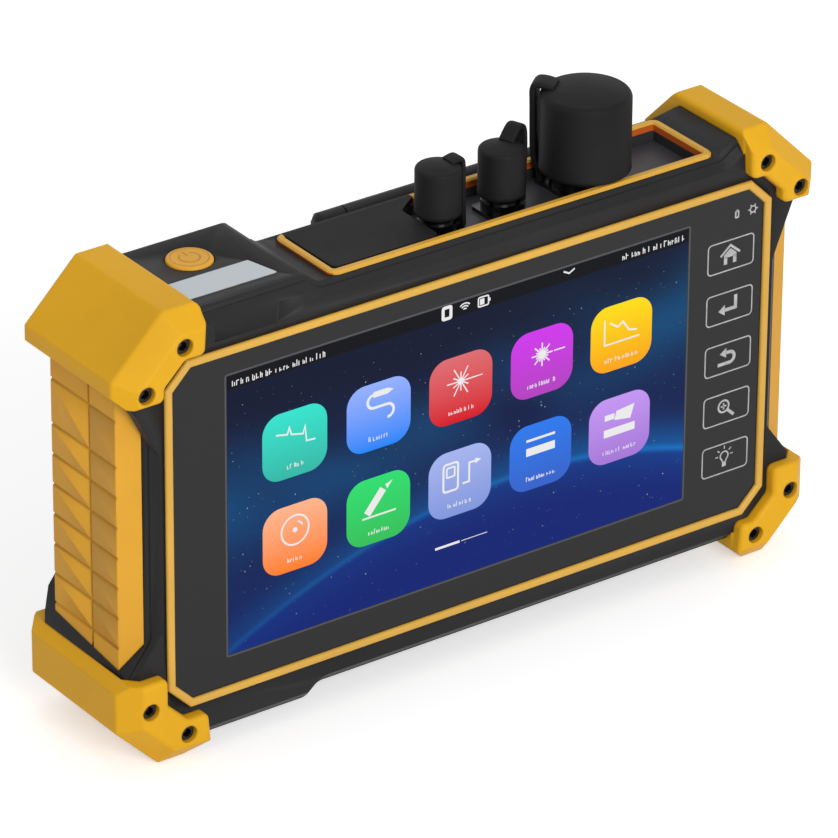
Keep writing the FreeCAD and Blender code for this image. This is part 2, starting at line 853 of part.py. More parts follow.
def flange(base, sign, reach, inner_x, y, back):
    """Flange of a right-hand bumper on the front or back face: an arm along
    the top or bottom, an arm up the side, and a cut corner that clears the
    trim. Its face edges are rounded."""
    inner_z = base + sign * flange_inner_drop
    notch_z = inner_z + sign * flange_notch_leg
    r = flange_round
    points = bumper_start(base, sign, inner_x)
    points += [(inner_x + flange_lean, inner_z, r), (flange_notch_x, inner_z, r),
               (flange_notch_side_x, notch_z, r), (flange_notch_side_x, base + sign * reach, r)]
    points += bumper_end(base, sign, reach)
    solid = prism(points, "XZ", min(y, back), max(y, back))
    rims = edges_where(solid, lambda box, edge: lies_at_y(box, y))
    return solid.makeFillet(flange_edge_round, rims)


def bumper(block_form, body, side, top):
    base, sign = (overall_height, -1) if top else (0, 1)
    reach = top_bumper_drop if top else bottom_bumper_rise
    inner_x = right_inner_x if side > 0 else bumper_inner_x
    wrap = bumper_start(base, sign, inner_x)
    wrap += [(inner_x, base + sign * reach)] + bumper_end(base, sign, reach)
    mask = prism(wrap, "XZ", face_y, back_y)
    mask = mask.fuse([flange(base, sign, reach, inner_x, -half_depth, face_y),
                      flange(base, sign, reach, inner_x, half_depth, back_y)])
    if side < 0:
        mask = mirrored(mask)
    solid = block_form.common(mask).cut(body)
    if side > 0 and top:
        solid = solid.cut(rear_slope(right_bumper_slope_gap, 0, half_width + 1))
    sink = screw_head_h + screw_sink
    cuts = screw_holes(head_hole_d, -half_depth - 1, sink + 1)
    cuts += screw_holes(head_hole_d, half_depth + 1, sink + 1)
    cuts += screw_holes(shank_hole_d, -half_depth, screw_length)
    cuts += screw_holes(shank_hole_d, half_depth, screw_length)
    solid = solid.cut(cuts)
    return max(solid.Solids, key=lambda s: s.Volume)


def cap_screw(x, y, z, direction, head_h, length):
    """Cap screw; direction is the way the shank points along Y."""
    head = rod((x, y, z), (0, direction, 0), screw_head_d, head_h)
    return head.fuse(rod((x, y, z), (0, direction, 0), screw_shank_d, length))


def bumper_screws(front):
    direction = 1 if front else -1
    y = -direction * (half_depth - screw_sink)
    return Part.makeCompound([cap_screw(x, y, z, direction, screw_head_h, screw_length)
                              for x, z in screw_places(front)])


# ---- screen pieces -------------------------------------------------------
def screen_trim():
    inner = octagon(trim_half_width - trim_width, trim_half_height - trim_width,
                    trim_corner_leg - trim_width * (2 - math.sqrt(2)))
    front_y = face_y - trim_proud
    ring = prism(octagon(trim_half_width, trim_half_height, trim_corner_leg),
                 "XZ", front_y, face_y + glass_thickness)
    ring = ring.cut(prism(inner, "XZ", front_y - 1, face_y + glass_thickness + 1))
    rims = edges_where(ring, lambda box, edge: lies_at_y(box, front_y))
    return ring.makeFillet(trim_edge_round, rims)


def cover_glass():
    leg = trim_corner_leg - trim_width * (2 - math.sqrt(2))
    pane = prism(octagon(trim_half_width - trim_width,
                         trim_half_height - trim_width, leg),
                 "XZ", face_y, face_y + glass_thickness)
    return pane


def display_module():
    """Flat panel bonded to the glass, with its metal back and a board strip."""
    y0 = face_y + glass_thickness
    x0 = display_centre_x - display_width / 2
    z0 = middle_z + display_centre_up - display_height / 2
    panel = block(x0, x0 + display_width, y0, y0 + display_thickness,
                  z0, z0 + display_height)
    return panel


def key_board():
    """Touch-key board behind the right-hand end of the glass."""
    y0 = face_y + glass_thickness
    half = key_pitch * (key_count - 1) / 2 + key_height
    x0 = key_column_x - key_width / 2
    board = block(x0 + key_board_inset, x0 + key_width - key_board_inset, y0,
                  y0 + key_board_thickness,
                  middle_z - half, middle_z + half)
    parts = []
    for i in range(key_count):
        z = middle_z - key_pitch * (i - (key_count - 1) / 2)
        half_sensor = key_sensor_size / 2
        parts.append(block(key_column_x - half_sensor, key_column_x + half_sensor,
                           y0 + key_board_thickness,
                           y0 + key_board_thickness + key_sensor_h,
                           z - half_sensor, z + half_sensor))
    return board.fuse(parts)


# ---- side grips ----------------------------------------------------------
def grip():
    """Right-hand grip: a wrapped pad with bevelled front and back strips,
    cross grooves on its side face and one long groove."""
    outer = grip_profile(0, 0)
    inner = grip_profile(grip_thickness - grip_bed_gap,
                         (grip_thickness - grip_bed_gap) * 0.8)
    section = outer + inner[::-1]
    pad = prism(section, "XY", 0, overall_height)
    pad = pad.common(grip_blank(grip_front_x - 3, grip_outer_x + 1, grip_end_gap))
    cuts = []
    x0 = grip_outer_x - grip_groove_depth
    for i in range(grip_groove_count):
        z = middle_z + (i - (grip_groove_count - 1) / 2) * grip_groove_pitch
        w = grip_groove_width / 2
        cuts.append(prism([(x0, z - w * 0.3), (x0, z + w * 0.3),
                           (grip_outer_x + 1, z + w * 1.6),
                           (grip_outer_x + 1, z - w * 1.6)],
                          "XZ", face_y + grip_bevel_inset, back_y))
    cuts.append(block(x0, grip_outer_x + 1, grip_long_groove_y - 0.5,
                      grip_long_groove_y + 0.5, 0, overall_height))
    return pad.cut(cuts)


# ---- power button and strip plate ----------------------------------------
def button_space():
    well = rod((button_x, button_y, raised_top_z - button_well_depth), (0, 0, 1),
               button_d + 2 * button_gap, 2 * button_well_depth)
    stem = rod((button_x, button_y, cavity_top_z - 1), (0, 0, 1), stem_hole_d,
               overall_height - cavity_top_z)
    return [well, stem]


def power_button():
    top = raised_top_z + button_proud
    disc = rod((button_x, button_y, top - button_height), (0, 0, 1), button_d,
               button_height)
    rims = edges_where(disc, lambda box, edge: lies_at_z(box, top))
    disc = disc.makeFillet(button_edge_round, rims)
    stem_end_z = cavity_top_z - stem_drop
    stem = rod((button_x, button_y, stem_end_z), (0, 0, 1), stem_d,
               top - button_height - stem_end_z + 0.4)
    return disc.fuse(stem)


def power_switch():
    """Push switch under the button's stem, on the small board that carries it."""
    top = cavity_top_z - stem_drop - button_travel - switch_gap
    plunger = rod((button_x, button_y, top - plunger_h), (0, 0, 1), plunger_d, plunger_h)
    half = switch_size / 2
    low = top - plunger_h - switch_h
    body = block(button_x - half, button_x + half, button_y - half, button_y + half,
                 low, top - plunger_h)
    board = block(button_x - switch_board_x / 2, button_x + switch_board_x / 2,
                  cavity_back_y - switch_board_y, cavity_back_y,
                  low - board_thickness, low)
    return body.fuse([plunger, board])


def strip_outline(gap):
    x0 = -bumper_inner_x - strip_tuck + gap
    return [(x0, strip_front_y + gap), (strip_right_x - gap, strip_front_y + gap, 0.5),
            (strip_right_x - strip_slant - gap, strip_back_y - gap, 0.5),
            (x0, strip_back_y - gap)]


def strip_space():
    return [prism(strip_outline(0), "XY", raised_top_z - strip_thickness
                  + strip_proud, overall_height)]


def strip_plate():
    """Bare metal strip let into the raised end, its left end against the bumper."""
    x0 = -bumper_inner_x + strip_gap
    points = strip_outline(strip_gap)
    points[0] = (x0, points[0][1])
    points[3] = (x0, points[3][1])
    return prism(points, "XY", raised_top_z - strip_thickness + strip_proud,
                 raised_top_z + strip_proud)


# ---- back: stand and battery bay -----------------------------------------
def stand_leaf_outline():
    """Back view of the stand's leaf: it narrows towards the foot and has a
    finger notch there."""
    x0 = stand_left_x + stand_knuckle + stand_gap
    x1 = stand_right_x - stand_knuckle - stand_gap
    z0 = stand_leaf_bottom_z
    mid = (x0 + x1) / 2
    top = stand_notch_width / 2
    low = top + stand_notch_slant
    return [(x0, stand_barrel_z), (x0 + stand_taper, z0, 5.0), (mid - low, z0, 2.0),
            (mid - top, z0 + stand_notch_h, 3.0), (mid + top, z0 + stand_notch_h, 3.0),
            (mid + low, z0, 2.0), (x1 - stand_taper, z0, 5.0), (x1, stand_barrel_z)]


def stand_space():
    """Shallow bed for the leaf in the back and a trough for the barrel."""
    x0 = stand_left_x + stand_knuckle
    x1 = stand_right_x - stand_knuckle
    bed = block(x0, x1, back_y - stand_leaf_thickness - stand_gap, half_depth,
                stand_leaf_bottom_z - stand_finger_room, stand_barrel_z)
    trough = rod((x0, stand_barrel_y, stand_barrel_z), (1, 0, 0),
                 stand_barrel_d + 2 * stand_gap, x1 - x0)
    return [bed, trough]


def stand_knuckles():
    """Hinge ears of the back shell, carried down on to the slope."""
    ears = []
    for x0, outer_x in ((stand_left_x, stand_left_x),
                        (stand_right_x - stand_knuckle, stand_right_x)):
        ear = rod((x0, stand_barrel_y, stand_barrel_z), (1, 0, 0),
                  stand_barrel_d, stand_knuckle)
        rims = edges_where(ear, lambda box, edge:
                           box.XMax - box.XMin < 1e-4 and abs(box.XMin - outer_x) < 1e-4)
        ear = ear.makeChamfer(stand_ear_bevel, rims)
        half = stand_barrel_d / 2 - stand_foot_inset
        foot = block(x0 + stand_foot_inset, x0 + stand_knuckle - stand_foot_inset,
                     stand_barrel_y - half, stand_barrel_y + half,
                     stand_barrel_z - stand_foot_h, stand_barrel_z)
        ears.append(ear)
        ears.append(foot)
    return ears


def stand():
    x0 = stand_left_x + stand_knuckle + stand_gap
    x1 = stand_right_x - stand_knuckle - stand_gap
    leaf = prism(stand_leaf_outline(), "XZ", back_y - stand_leaf_thickness, back_y)
    tube = rod((x0, stand_barrel_y, stand_barrel_z), (1, 0, 0), stand_barrel_d, x1 - x0)
    hole = rod((x0 - 1, stand_barrel_y, stand_barrel_z), (1, 0, 0),
               stand_pin_d + 2 * pin_run_gap, x1 - x0 + 2)
    panels = []
    for i in range(stand_panel_count):
        z = stand_panel_z + i * stand_panel_pitch
        panels.append(block(x0 + stand_panel_inset, x1 - stand_panel_inset,
                            back_y - stand_panel_depth, back_y + 1,
                            z, z + stand_panel_height))
    return leaf.fuse(tube).cut(panels).cut(hole)


def stand_pin():
    return rod((stand_left_x + stand_pin_inset, stand_barrel_y, stand_barrel_z),
               (1, 0, 0), stand_pin_d,
               stand_right_x - stand_left_x - stand_pin_inset - stand_gap)


def battery_bay_walls():
    return [block(battery_left_x - bay_wall, battery_right_x + bay_wall,
                  bay_front_y - bay_wall, cavity_back_y + 1,
                  battery_bottom_z - bay_wall, battery_top_z + bay_wall)]


def battery_bay_space():
    bay = block(battery_left_x, battery_right_x, bay_front_y, bay_back_y,
                battery_bottom_z, battery_top_z)
    lip = block(battery_left_x - door_lip, battery_right_x + door_lip,
                bay_back_y, half_depth,
                battery_bottom_z - door_end_lip, battery_top_z + door_end_lip)
    return [bay, lip] + door_screw_holes(shank_hole_d, door_screw_length + 2)


def door_screw_places():
    x = (battery_left_x + battery_right_x) / 2
    return [(x, battery_bottom_z - door_screw_inset),
            (x, battery_top_z + door_screw_inset)]


def door_screw_holes(diameter, depth):
    return [rod((x, back_y + 1, z), (0, -1, 0), diameter, depth + 1)
            for x, z in door_screw_places()]


def battery_pack():
    pack = block(battery_left_x + battery_gap, battery_right_x - battery_gap,
                 bay_front_y, bay_front_y + battery_depth,
                 battery_bottom_z + battery_gap, battery_top_z - battery_gap)
    corner = edges_where(pack, lambda box, edge: box.YLength > battery_depth - 1)
    return pack.makeFillet(battery_round, corner)


def battery_door():
    """Flush door with a row of thumb grooves at its upper end."""
    x0 = battery_left_x - door_lip + door_gap
    x1 = battery_right_x + door_lip - door_gap
    z0 = battery_bottom_z - door_end_lip + door_gap
    z1 = battery_top_z + door_end_lip - door_gap
    door = block(x0, x1, bay_back_y, back_y, z0, z1)
    corner = edges_where(door, lambda box, edge: box.YLength > door_thickness - 0.1)
    door = door.makeFillet(door_round, corner)
    grooves = []
    for i in range(door_groove_count):
        z = z1 - door_groove_drop - i * door_groove_pitch
        grooves.append(block(x0 + door_groove_inset, x1 - door_groove_inset,
                             back_y - door_groove_depth, back_y + 1,
                             z, z + door_groove_height))
    return door.cut(grooves + door_screw_holes(shank_hole_d, door_thickness + 1)
                    + door_screw_holes(head_hole_d, door_screw_head_h + 0.1))


def door_screws():
    return Part.makeCompound([
        cap_screw(x, back_y - 0.1, z, -1, door_screw_head_h, door_screw_length)
        for x, z in door_screw_places()])


def housing_screw_places():
    low = cavity_bottom_z + housing_screw_inset
    return [(-housing_screw_x, low), (housing_screw_middle_x, low), (housing_screw_right_x, low),
            (-housing_screw_x, cavity_top_z + housing_screw_rise),
            (housing_screw_top_x, cavity_top_z - housing_screw_drop)]


def housing_screw_pillars():
    """Pillars that the long housing screws run through, up to the front."""
    return [rod((x, chassis_y + lip_gap, z), (0, 1, 0), pillar_d, cavity_back_y - chassis_y)
            for x, z in housing_screw_places()]


def housing_screw_holes():
    cuts = []
    for x, z in housing_screw_places():
        cuts.append(rod((x, back_y + 1, z), (0, -1, 0), head_hole_d,
                        1 + screw_head_h + housing_screw_sink))
        cuts.append(rod((x, back_y, z), (0, -1, 0), shank_hole_d,
                        back_y - seam_y - lip_gap))
    return cuts


def housing_screws():
    y = back_y - housing_screw_sink
    return Part.makeCompound([
        cap_screw(x, y, z, -1, screw_head_h, y - seam_y - 2 * lip_gap)
        for x, z in housing_screw_places()])


# ---- inside --------------------------------------------------------------
def boss_places():
    return [(x, z) for z in (chassis_bottom_z + boss_inset, chassis_top_z - boss_inset)
            for x in (boss_left_x, boss_right_x)]


def boss_solids():
    y = board_y + board_thickness
    return [rod((x, y, z), (0, 1, 0), boss_d, cavity_back_y - y + 1) for x, z in boss_places()]


def chassis():
    """Pressed metal plate behind the screen, with turned-in edges and four
    spacers for the main board."""
    x0 = -chassis_half_width
    x1 = chassis_half_width
    plate = block(x0, x1, chassis_y, chassis_y + sheet_thickness,
                  chassis_bottom_z, chassis_top_z)
    window = prism([(x, z, 4.0) for x, z in (
        (x0 + chassis_rim, chassis_bottom_z + chassis_rim),
        (boss_left_x - chassis_rim, chassis_bottom_z + chassis_rim),
        (boss_left_x - chassis_rim, chassis_top_z - chassis_rim),
        (x0 + chassis_rim, chassis_top_z - chassis_rim))], "XZ", chassis_y - 1, board_y)
    edges = [block(x0, x1, chassis_y, chassis_y + chassis_edge, z, z + sheet_thickness)
             for z in (chassis_bottom_z, chassis_top_z - sheet_thickness)]
    spacers = [rod((x, chassis_y, z), (0, 1, 0), boss_d - 1, board_y - chassis_y)
               for x, z in boss_places()]
    return plate.cut(window).fuse(edges + spacers)


# Chips of the main board: centre x, centre z, width, height, thickness. The
# last, the battery's plug, is on the back of the board.
chips = [(-1.0, 61.0, 18.0, 18.0, 1.4), (22.0, 61.0, 12.0, 10.0, 1.2),
         (43.0, 85.0, 14.0, 10.0, 1.0), (-20.0, 37.0, 8.0, 14.0, -3.4)]


def main_board():
    board = block(boss_left_x - boss_d / 2 - 0.5, boss_right_x + boss_d / 2 + 0.5, board_y,
                  board_y + board_thickness, chassis_bottom_z + sheet_thickness + 2,
                  chassis_top_z - sheet_thickness)
    placed = []
    for x, z, width, height, thickness in chips:
        y0 = board_y - thickness if thickness > 0 else board_y + board_thickness
        placed.append(block(x - width / 2, x + width / 2, y0, y0 + abs(thickness),
                            z - height / 2, z + height / 2))
    return board.fuse(placed)


def optical_module():
    """Screened box of the laser and receiver on the back of the main board,
    with a finned lid."""
    y0 = board_y + board_thickness
    y1 = y0 + module_depth
    box = block(module_left_x, module_right_x, y0, y1, module_bottom_z, module_top_z)
    edges = edges_where(box, lambda bound, edge: bound.YLength > module_depth - 1)
    box = box.makeFillet(module_round, edges)
    gaps = []
    for i in range(fin_gap_count):
        x = module_left_x + fin_pitch / 2 + i * fin_pitch
        gaps.append(block(x, x + fin_gap_width, y1 - fin_height, y1 + 1,
                          module_bottom_z + module_round * 2, module_top_z - module_round * 2))
    return box.cut(gaps)


def port_board():
    """Small board under the sockets, at the height of their pins."""
    left = socket_sizes["dc_jack"]
    right = socket_sizes["network_socket"]
    z = socket_top_z - left[3]
    return block(left[0] - left[1] / 2 - 1.5, right[0] + right[1] / 2 + 1.7,
                 port_y - port_board_size_y / 2, port_y + port_board_size_y / 2,
                 z - board_thickness, z)


def export_all():
    os.makedirs("parts", exist_ok=True)
    body = housing_body()
    whole = full_housing(body)
    groove = seam_ring(whole)
    save("front_housing", front_housing(whole).cut(groove))
    save("rear_housing", rear_housing(whole).cut(groove))
    form = bumper_block()
    for name, side, top in (("bumper_top_left", -1, True),
                            ("bumper_top_right", 1, True),
                            ("bumper_bottom_left", -1, False),
                            ("bumper_bottom_right", 1, False)):
        save(name, bumper(form, body, side, top))
    save("bumper_screws_front", bumper_screws(True))
    save("bumper_screws_rear", bumper_screws(False))
    save("screen_trim", screen_trim())
    save("cover_glass", cover_glass())
    save("display_module", display_module())
    save("key_board", key_board())
    save("grip_right", grip())
    save("grip_left", mirrored(grip()))
    save("tray_trim", tray_trim())
    save("port_tray", port_tray())
    save("dc_jack", dc_jack())
    save("usb_socket", usb_socket())
    save("network_socket", network_socket())
    save("port_board", port_board())
    save("port_cover", port_cover())
    for index in range(3):
        save("adapter_%d" % (index + 1), adapter(index))
        save("dust_cap_%d" % (index + 1), dust_cap(index))
        save("cap_tether_%d" % (index + 1), tether(index))
    save("power_button", power_button())
    save("power_switch", power_switch())
    save("strip_plate", strip_plate())
    save("stand", stand())
    save("stand_pin", stand_pin())
    save("battery_pack", battery_pack())
    save("battery_door", battery_door())
    save("battery_door_screws", door_screws())
    save("housing_screws", housing_screws())
    save("chassis", chassis())
    save("main_board", main_board())
    save("optical_module", optical_module())


export_all()
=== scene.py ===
"""Looks of a handheld optical time domain reflectometer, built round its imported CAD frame."""

import bmesh
import bpy
import numpy as np
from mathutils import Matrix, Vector


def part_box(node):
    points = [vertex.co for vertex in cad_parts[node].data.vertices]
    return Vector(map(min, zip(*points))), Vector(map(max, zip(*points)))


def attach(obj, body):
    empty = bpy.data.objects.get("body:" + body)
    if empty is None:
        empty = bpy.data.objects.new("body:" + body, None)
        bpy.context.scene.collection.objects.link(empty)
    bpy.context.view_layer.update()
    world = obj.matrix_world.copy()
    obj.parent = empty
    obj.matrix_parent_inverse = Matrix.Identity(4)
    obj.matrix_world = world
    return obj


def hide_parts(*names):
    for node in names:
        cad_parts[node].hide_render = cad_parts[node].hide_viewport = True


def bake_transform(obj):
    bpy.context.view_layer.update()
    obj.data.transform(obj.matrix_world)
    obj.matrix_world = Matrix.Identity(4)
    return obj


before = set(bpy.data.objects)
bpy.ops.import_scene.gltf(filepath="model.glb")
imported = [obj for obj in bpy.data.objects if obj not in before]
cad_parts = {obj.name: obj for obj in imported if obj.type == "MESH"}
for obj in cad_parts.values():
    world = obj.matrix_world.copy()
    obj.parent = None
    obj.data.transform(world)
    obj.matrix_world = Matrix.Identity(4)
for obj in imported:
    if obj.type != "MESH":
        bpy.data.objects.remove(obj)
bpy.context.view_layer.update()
mm = 0.001


# ---- moulded housing ---------------------------------------------------------
# Two shells of black glass-filled polycarbonate with a fine, even spark texture.
# The battery door and the folding stand are moulded in the same plastic. Each
# side has a recess for its grip, whose upper end runs on up to the top bumper.

def new_material(name, colour, roughness, metallic=0.0, specular=0.25):
    """A Principled material with its plain values on the shader's own sockets."""
    material = bpy.data.materials.new(name)
    material.use_nodes = True
    shader = material.node_tree.nodes["Principled BSDF"]
    shader.inputs["Base Color"].default_value = (*colour, 1)
    shader.inputs["Roughness"].default_value = roughness
    shader.inputs["Metallic"].default_value = metallic
    shader.inputs["Specular IOR Level"].default_value = specular
    return material, material.node_tree, shader


def object_noise(tree, scale, detail=3.0, stretch=(1, 1, 1)):
    """Noise over Object coordinates, scale in waves per metre, stretched per axis."""
    place = tree.nodes.new("ShaderNodeTexCoord")
    mapping = tree.nodes.new("ShaderNodeMapping")
    mapping.inputs["Scale"].default_value = stretch
    noise = tree.nodes.new("ShaderNodeTexNoise")
    noise.inputs["Scale"].default_value = scale
    noise.inputs["Detail"].default_value = detail
    tree.links.new(place.outputs["Object"], mapping.inputs["Vector"])
    tree.links.new(mapping.outputs["Vector"], noise.inputs["Vector"])
    return noise.outputs["Fac"]


def vary_colour(tree, shader, fac, low, high, start=0.35, end=0.65):
    """Base colour runs from low to high as fac goes from start to end."""
    ramp = tree.nodes.new("ShaderNodeValToRGB")
    ramp.color_ramp.elements[0].position = start
    ramp.color_ramp.elements[1].position = end
    ramp.color_ramp.elements[0].color = (*low, 1)
    ramp.color_ramp.elements[1].color = (*high, 1)
    tree.links.new(fac, ramp.inputs["Fac"])
    tree.links.new(ramp.outputs["Color"], shader.inputs["Base Color"])


def vary_roughness(tree, shader, fac, low, high):
    """Roughness runs from low to high with fac."""
    span = tree.nodes.new("ShaderNodeMapRange")
    span.inputs["To Min"].default_value = low
    span.inputs["To Max"].default_value = high
    tree.links.new(fac, span.inputs["Value"])
    tree.links.new(span.outputs["Result"], shader.inputs["Roughness"])


def add_bump(tree, shader, fac, strength, depth, edge=0.0):
    """Surface grain of the given depth, on edges that look softened by the edge radius."""
    bump = tree.nodes.new("ShaderNodeBump")
    if edge:
        soft = tree.nodes.new("ShaderNodeBevel")
        soft.samples = 6
        soft.inputs["Radius"].default_value = edge
        tree.links.new(soft.outputs["Normal"], bump.inputs["Normal"])
    bump.inputs["Strength"].default_value = strength
    bump.inputs["Distance"].default_value = depth
    tree.links.new(fac, bump.inputs["Height"])
    tree.links.new(bump.outputs["Normal"], shader.inputs["Normal"])


def paint(material, *nodes):
    """Gives CAD nodes this material over their whole surface."""
    for name in nodes:
        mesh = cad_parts[name].data
        mesh.materials.clear()
        mesh.materials.append(material)


def moulded(name, colour, roughness=0.5, grain=2600.0, depth=0.00003, lift=1.2, specular=0.25,
            edge=0.0003):
    """Moulded plastic: fine spark texture and a faint drift of tone across the wall."""
    material, tree, shader = new_material(name, colour, roughness, 0.0, specular)
    vary_colour(tree, shader, object_noise(tree, 28.0), tuple(c / lift for c in colour),
                tuple(c * lift for c in colour))
    vary_roughness(tree, shader, object_noise(tree, 90.0), roughness - 0.07,
                   roughness + 0.07)
    add_bump(tree, shader, object_noise(tree, grain, 2.0), 0.5, depth, edge)
    return material


housing_black = moulded("housing_black", (0.012, 0.012, 0.013), 0.50, specular=0.20)
paint(housing_black, "battery_door", "stand")

recess_end_low_z = 98.0
recess_end_high_z = 113.0
recess_inner_x = 102.0
recess_rise_left = 4.5
recess_rise_right = 8.5
weld_gap = 0.01
crease_angle = 25


def raised_copy(node, name, material, smooth):
    """A welded copy of a CAD node with its recess end raised: every point farther
    out than recess_inner_x, between the two heights, rises by its side's step."""
    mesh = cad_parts[node].data.copy()
    mesh.name = name
    welded = bmesh.new()
    welded.from_mesh(mesh)
    bmesh.ops.remove_doubles(welded, verts=welded.verts, dist=weld_gap * mm)
    welded.to_mesh(mesh)
    welded.free()
    points = np.empty(len(mesh.vertices) * 3)
    mesh.vertices.foreach_get("co", points)
    points = points.reshape(-1, 3)
    moved = ((np.abs(points[:, 0]) > recess_inner_x * mm)
             & (points[:, 2] > recess_end_low_z * mm)
             & (points[:, 2] < recess_end_high_z * mm))
    rise = np.where(points[:, 0] > 0, recess_rise_right, recess_rise_left)
    points[moved, 2] += rise[moved] * mm
    mesh.vertices.foreach_set("co", points.ravel())
    mesh.materials.clear()
    mesh.materials.append(material)
    mesh.polygons.foreach_set("use_smooth", np.full(len(mesh.polygons), smooth))
    mesh.set_sharp_from_angle(angle=np.radians(crease_angle))
    mesh.update()
    piece = bpy.data.objects.new(name, mesh)
    bpy.context.scene.collection.objects.link(piece)
    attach(piece, "case")
    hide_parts(node)
    return piece


raised_copy("front_housing", "front_shell", housing_black, True)
raised_copy("rear_housing", "rear_shell", housing_black, True)


# ---- corner bumpers and side grips ---------------------------------------------
# Amber elastomer mouldings, screwed on at the corners and bonded on at the sides.
# The grips have the duller, slightly coarser skin of a softer grade.

bumper_amber = moulded("bumper_amber", (0.77, 0.40, 0.012), 0.50, 1900.0, 0.00002, 1.05,
                       specular=0.175, edge=0.0009)
grip_amber = moulded("grip_amber", (0.74, 0.37, 0.035), 0.56, 1500.0, 0.00004, 1.05,
                     specular=0.175, edge=0.0006)
paint(bumper_amber, "bumper_top_left", "bumper_top_right", "bumper_bottom_left",
      "bumper_bottom_right")
raised_copy("grip_left", "side_grip_left", grip_amber, False)
raised_copy("grip_right", "side_grip_right", grip_amber, False)


# ---- socket-head screws ---------------------------------------------------------
# Blackened steel cap screws with hexagon sockets. They hold the bumpers, the
# battery door and the two shells, each in its own sunk hole. At the back, the
# sloped end of the shell takes one bumper screw's place.

def add_piece(name, vertices, faces, material, body, smooth=True):
    """A mesh object from arrays of points and faces, riding on a body."""
    mesh = bpy.data.meshes.new(name)
    mesh.from_pydata(np.asarray(vertices, float).tolist(), [], [list(f) for f in faces])
    mesh.materials.append(material)
    mesh.polygons.foreach_set("use_smooth", np.full(len(mesh.polygons), smooth))
    mesh.update()
    piece = bpy.data.objects.new(name, mesh)
    bpy.context.scene.collection.objects.link(piece)
    if body:
        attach(piece, body)
    return piece


def grid_faces(rows, columns, closed, first=0):
    """Quads of a grid of rows by columns, its last column joined to its first if closed."""
    row, column = np.meshgrid(np.arange(rows - 1),
                              np.arange(columns if closed else columns - 1), indexing="ij")
    here = row * columns + column
    beside = row * columns + (column + 1) % columns
    quads = np.stack([here, beside, beside + columns, here + columns], -1)
    return (quads.reshape(-1, 4) + first)


def join(parts):
    """One list of points and faces from several, each with its faces moved on."""
    vertices, faces, count = [], [], 0
    for points, quads in parts:
        vertices.append(points)
        faces.append(np.asarray(quads) + count)
        count += len(points)
    return np.concatenate(vertices), np.concatenate(faces)


def socket_screw(x, y, z, facing, head_d, head_h, shank_d, length):
    """A screw on its axis along Y. Rings run from the tip up the shank, over the
    head's bevelled rim and down the socket. A socket ring is a hexagon: its radius
    is half the width across flats, divided by the cosine of the angle to the
    nearest flat's middle."""
    turn = np.linspace(0, 2 * np.pi, 48, endpoint=False)
    flats = 0.52 * head_d
    flat = flats / 2 / np.cos((turn + np.pi / 6) % (np.pi / 3) - np.pi / 6)
    disc = np.ones_like(turn)
    depth = 0.75 * head_h
    rings = [(0 * disc, -length), (disc * shank_d / 2, -length),
             (disc * shank_d / 2, -head_h), (disc * head_d / 2, -head_h),
             (disc * head_d / 2, -0.12 * head_h), (disc * head_d / 2 * 0.93, 0.0),
             (flat * 1.06, 0.0), (flat, -0.06 * head_h), (flat, -depth),
             (0 * disc, -depth - 0.15 * flats)]
    radius = np.array([ring[0] for ring in rings])
    height = np.array([ring[1] for ring in rings])[:, None] + 0 * radius
    points = np.stack([x + radius * np.cos(turn) * facing, y + height * facing,
                       z + radius * np.sin(turn)], -1).reshape(-1, 3)
    faces = grid_faces(len(rings), len(turn), True)
    return points * mm, faces[:, ::-1]


screw_black, tree, shader = new_material("screw_black", (0.035, 0.035, 0.038), 0.38, 0.9)
vary_roughness(tree, shader, object_noise(tree, 900.0), 0.28, 0.5)
screw_head_d = 4.5
screw_head_h = 2.6
screw_shank_d = 2.5
screw_length = 12.0
screw_face_y = 25.2
bumper_places = [(97.2, 9.4), (109.3, 20.2), (97.2, 127.2), (109.3, 116.4)]
no_rear_screw = (1, 97.2, 127.2)


def bumper_screws(places, facing):
    """The screws at the given places (side, x, z), all facing front (-1) or back (1)."""
    return [socket_screw(side * x, facing * screw_face_y, z, facing, screw_head_d,
                         screw_head_h, screw_shank_d, screw_length) for side, x, z in places]


screw_places = [(side, x, z) for side in (-1, 1) for x, z in bumper_places]
front_screws = bumper_screws(screw_places, -1)
rear_screws = bumper_screws([place for place in screw_places if place != no_rear_screw], 1)
for name, screws in (("bumper_screws_front", front_screws), ("bumper_screws_rear", rear_screws)):
    points, faces = join(screws)
    piece = add_piece(name + "_socketed", points, faces, screw_black, "case", False)
    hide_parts(name)
paint(screw_black, "battery_door_screws", "housing_screws", "stand_pin")


# ---- trim rings ---------------------------------------------------------------
# Satin amber beads: a pale one round the screen, and one round the port tray coloured with
# painted light: a lit gold where it faces up and at its front, and painted shade on its inner
# walls, deeper orange near the top and dark grey lower down.

trim_amber = moulded("trim_amber", (0.70, 0.40, 0.065), 0.36, 2400.0, 0.00001, 1.06)
paint(trim_amber, "screen_trim")

tray_amber_painted_light, tree, shader = new_material("tray_amber_painted_light", (0.72, 0.36, 0.04), 0.36)


def above(tree, value, limit, width):
    """0 below the limit and 1 above it, over the given width."""
    step = tree.nodes.new("ShaderNodeMapRange")
    step.inputs["From Min"].default_value = limit - width / 2
    step.inputs["From Max"].default_value = limit + width / 2
    tree.links.new(value, step.inputs["Value"])
    return step.outputs["Result"]


def mixed(tree, fac, low, high):
    """A colour that runs from low to high with fac; each is a colour or a socket."""
    mix = tree.nodes.new("ShaderNodeMix")
    mix.data_type = "RGBA"
    tree.links.new(fac, mix.inputs["Factor"])
    low_socket, high_socket, mixed_socket = 6, 7, 2
    for socket, colour in ((low_socket, low), (high_socket, high)):
        if isinstance(colour, tuple):
            mix.inputs[socket].default_value = (*colour, 1)
        else:
            tree.links.new(colour, mix.inputs[socket])
    return mix.outputs[mixed_socket]


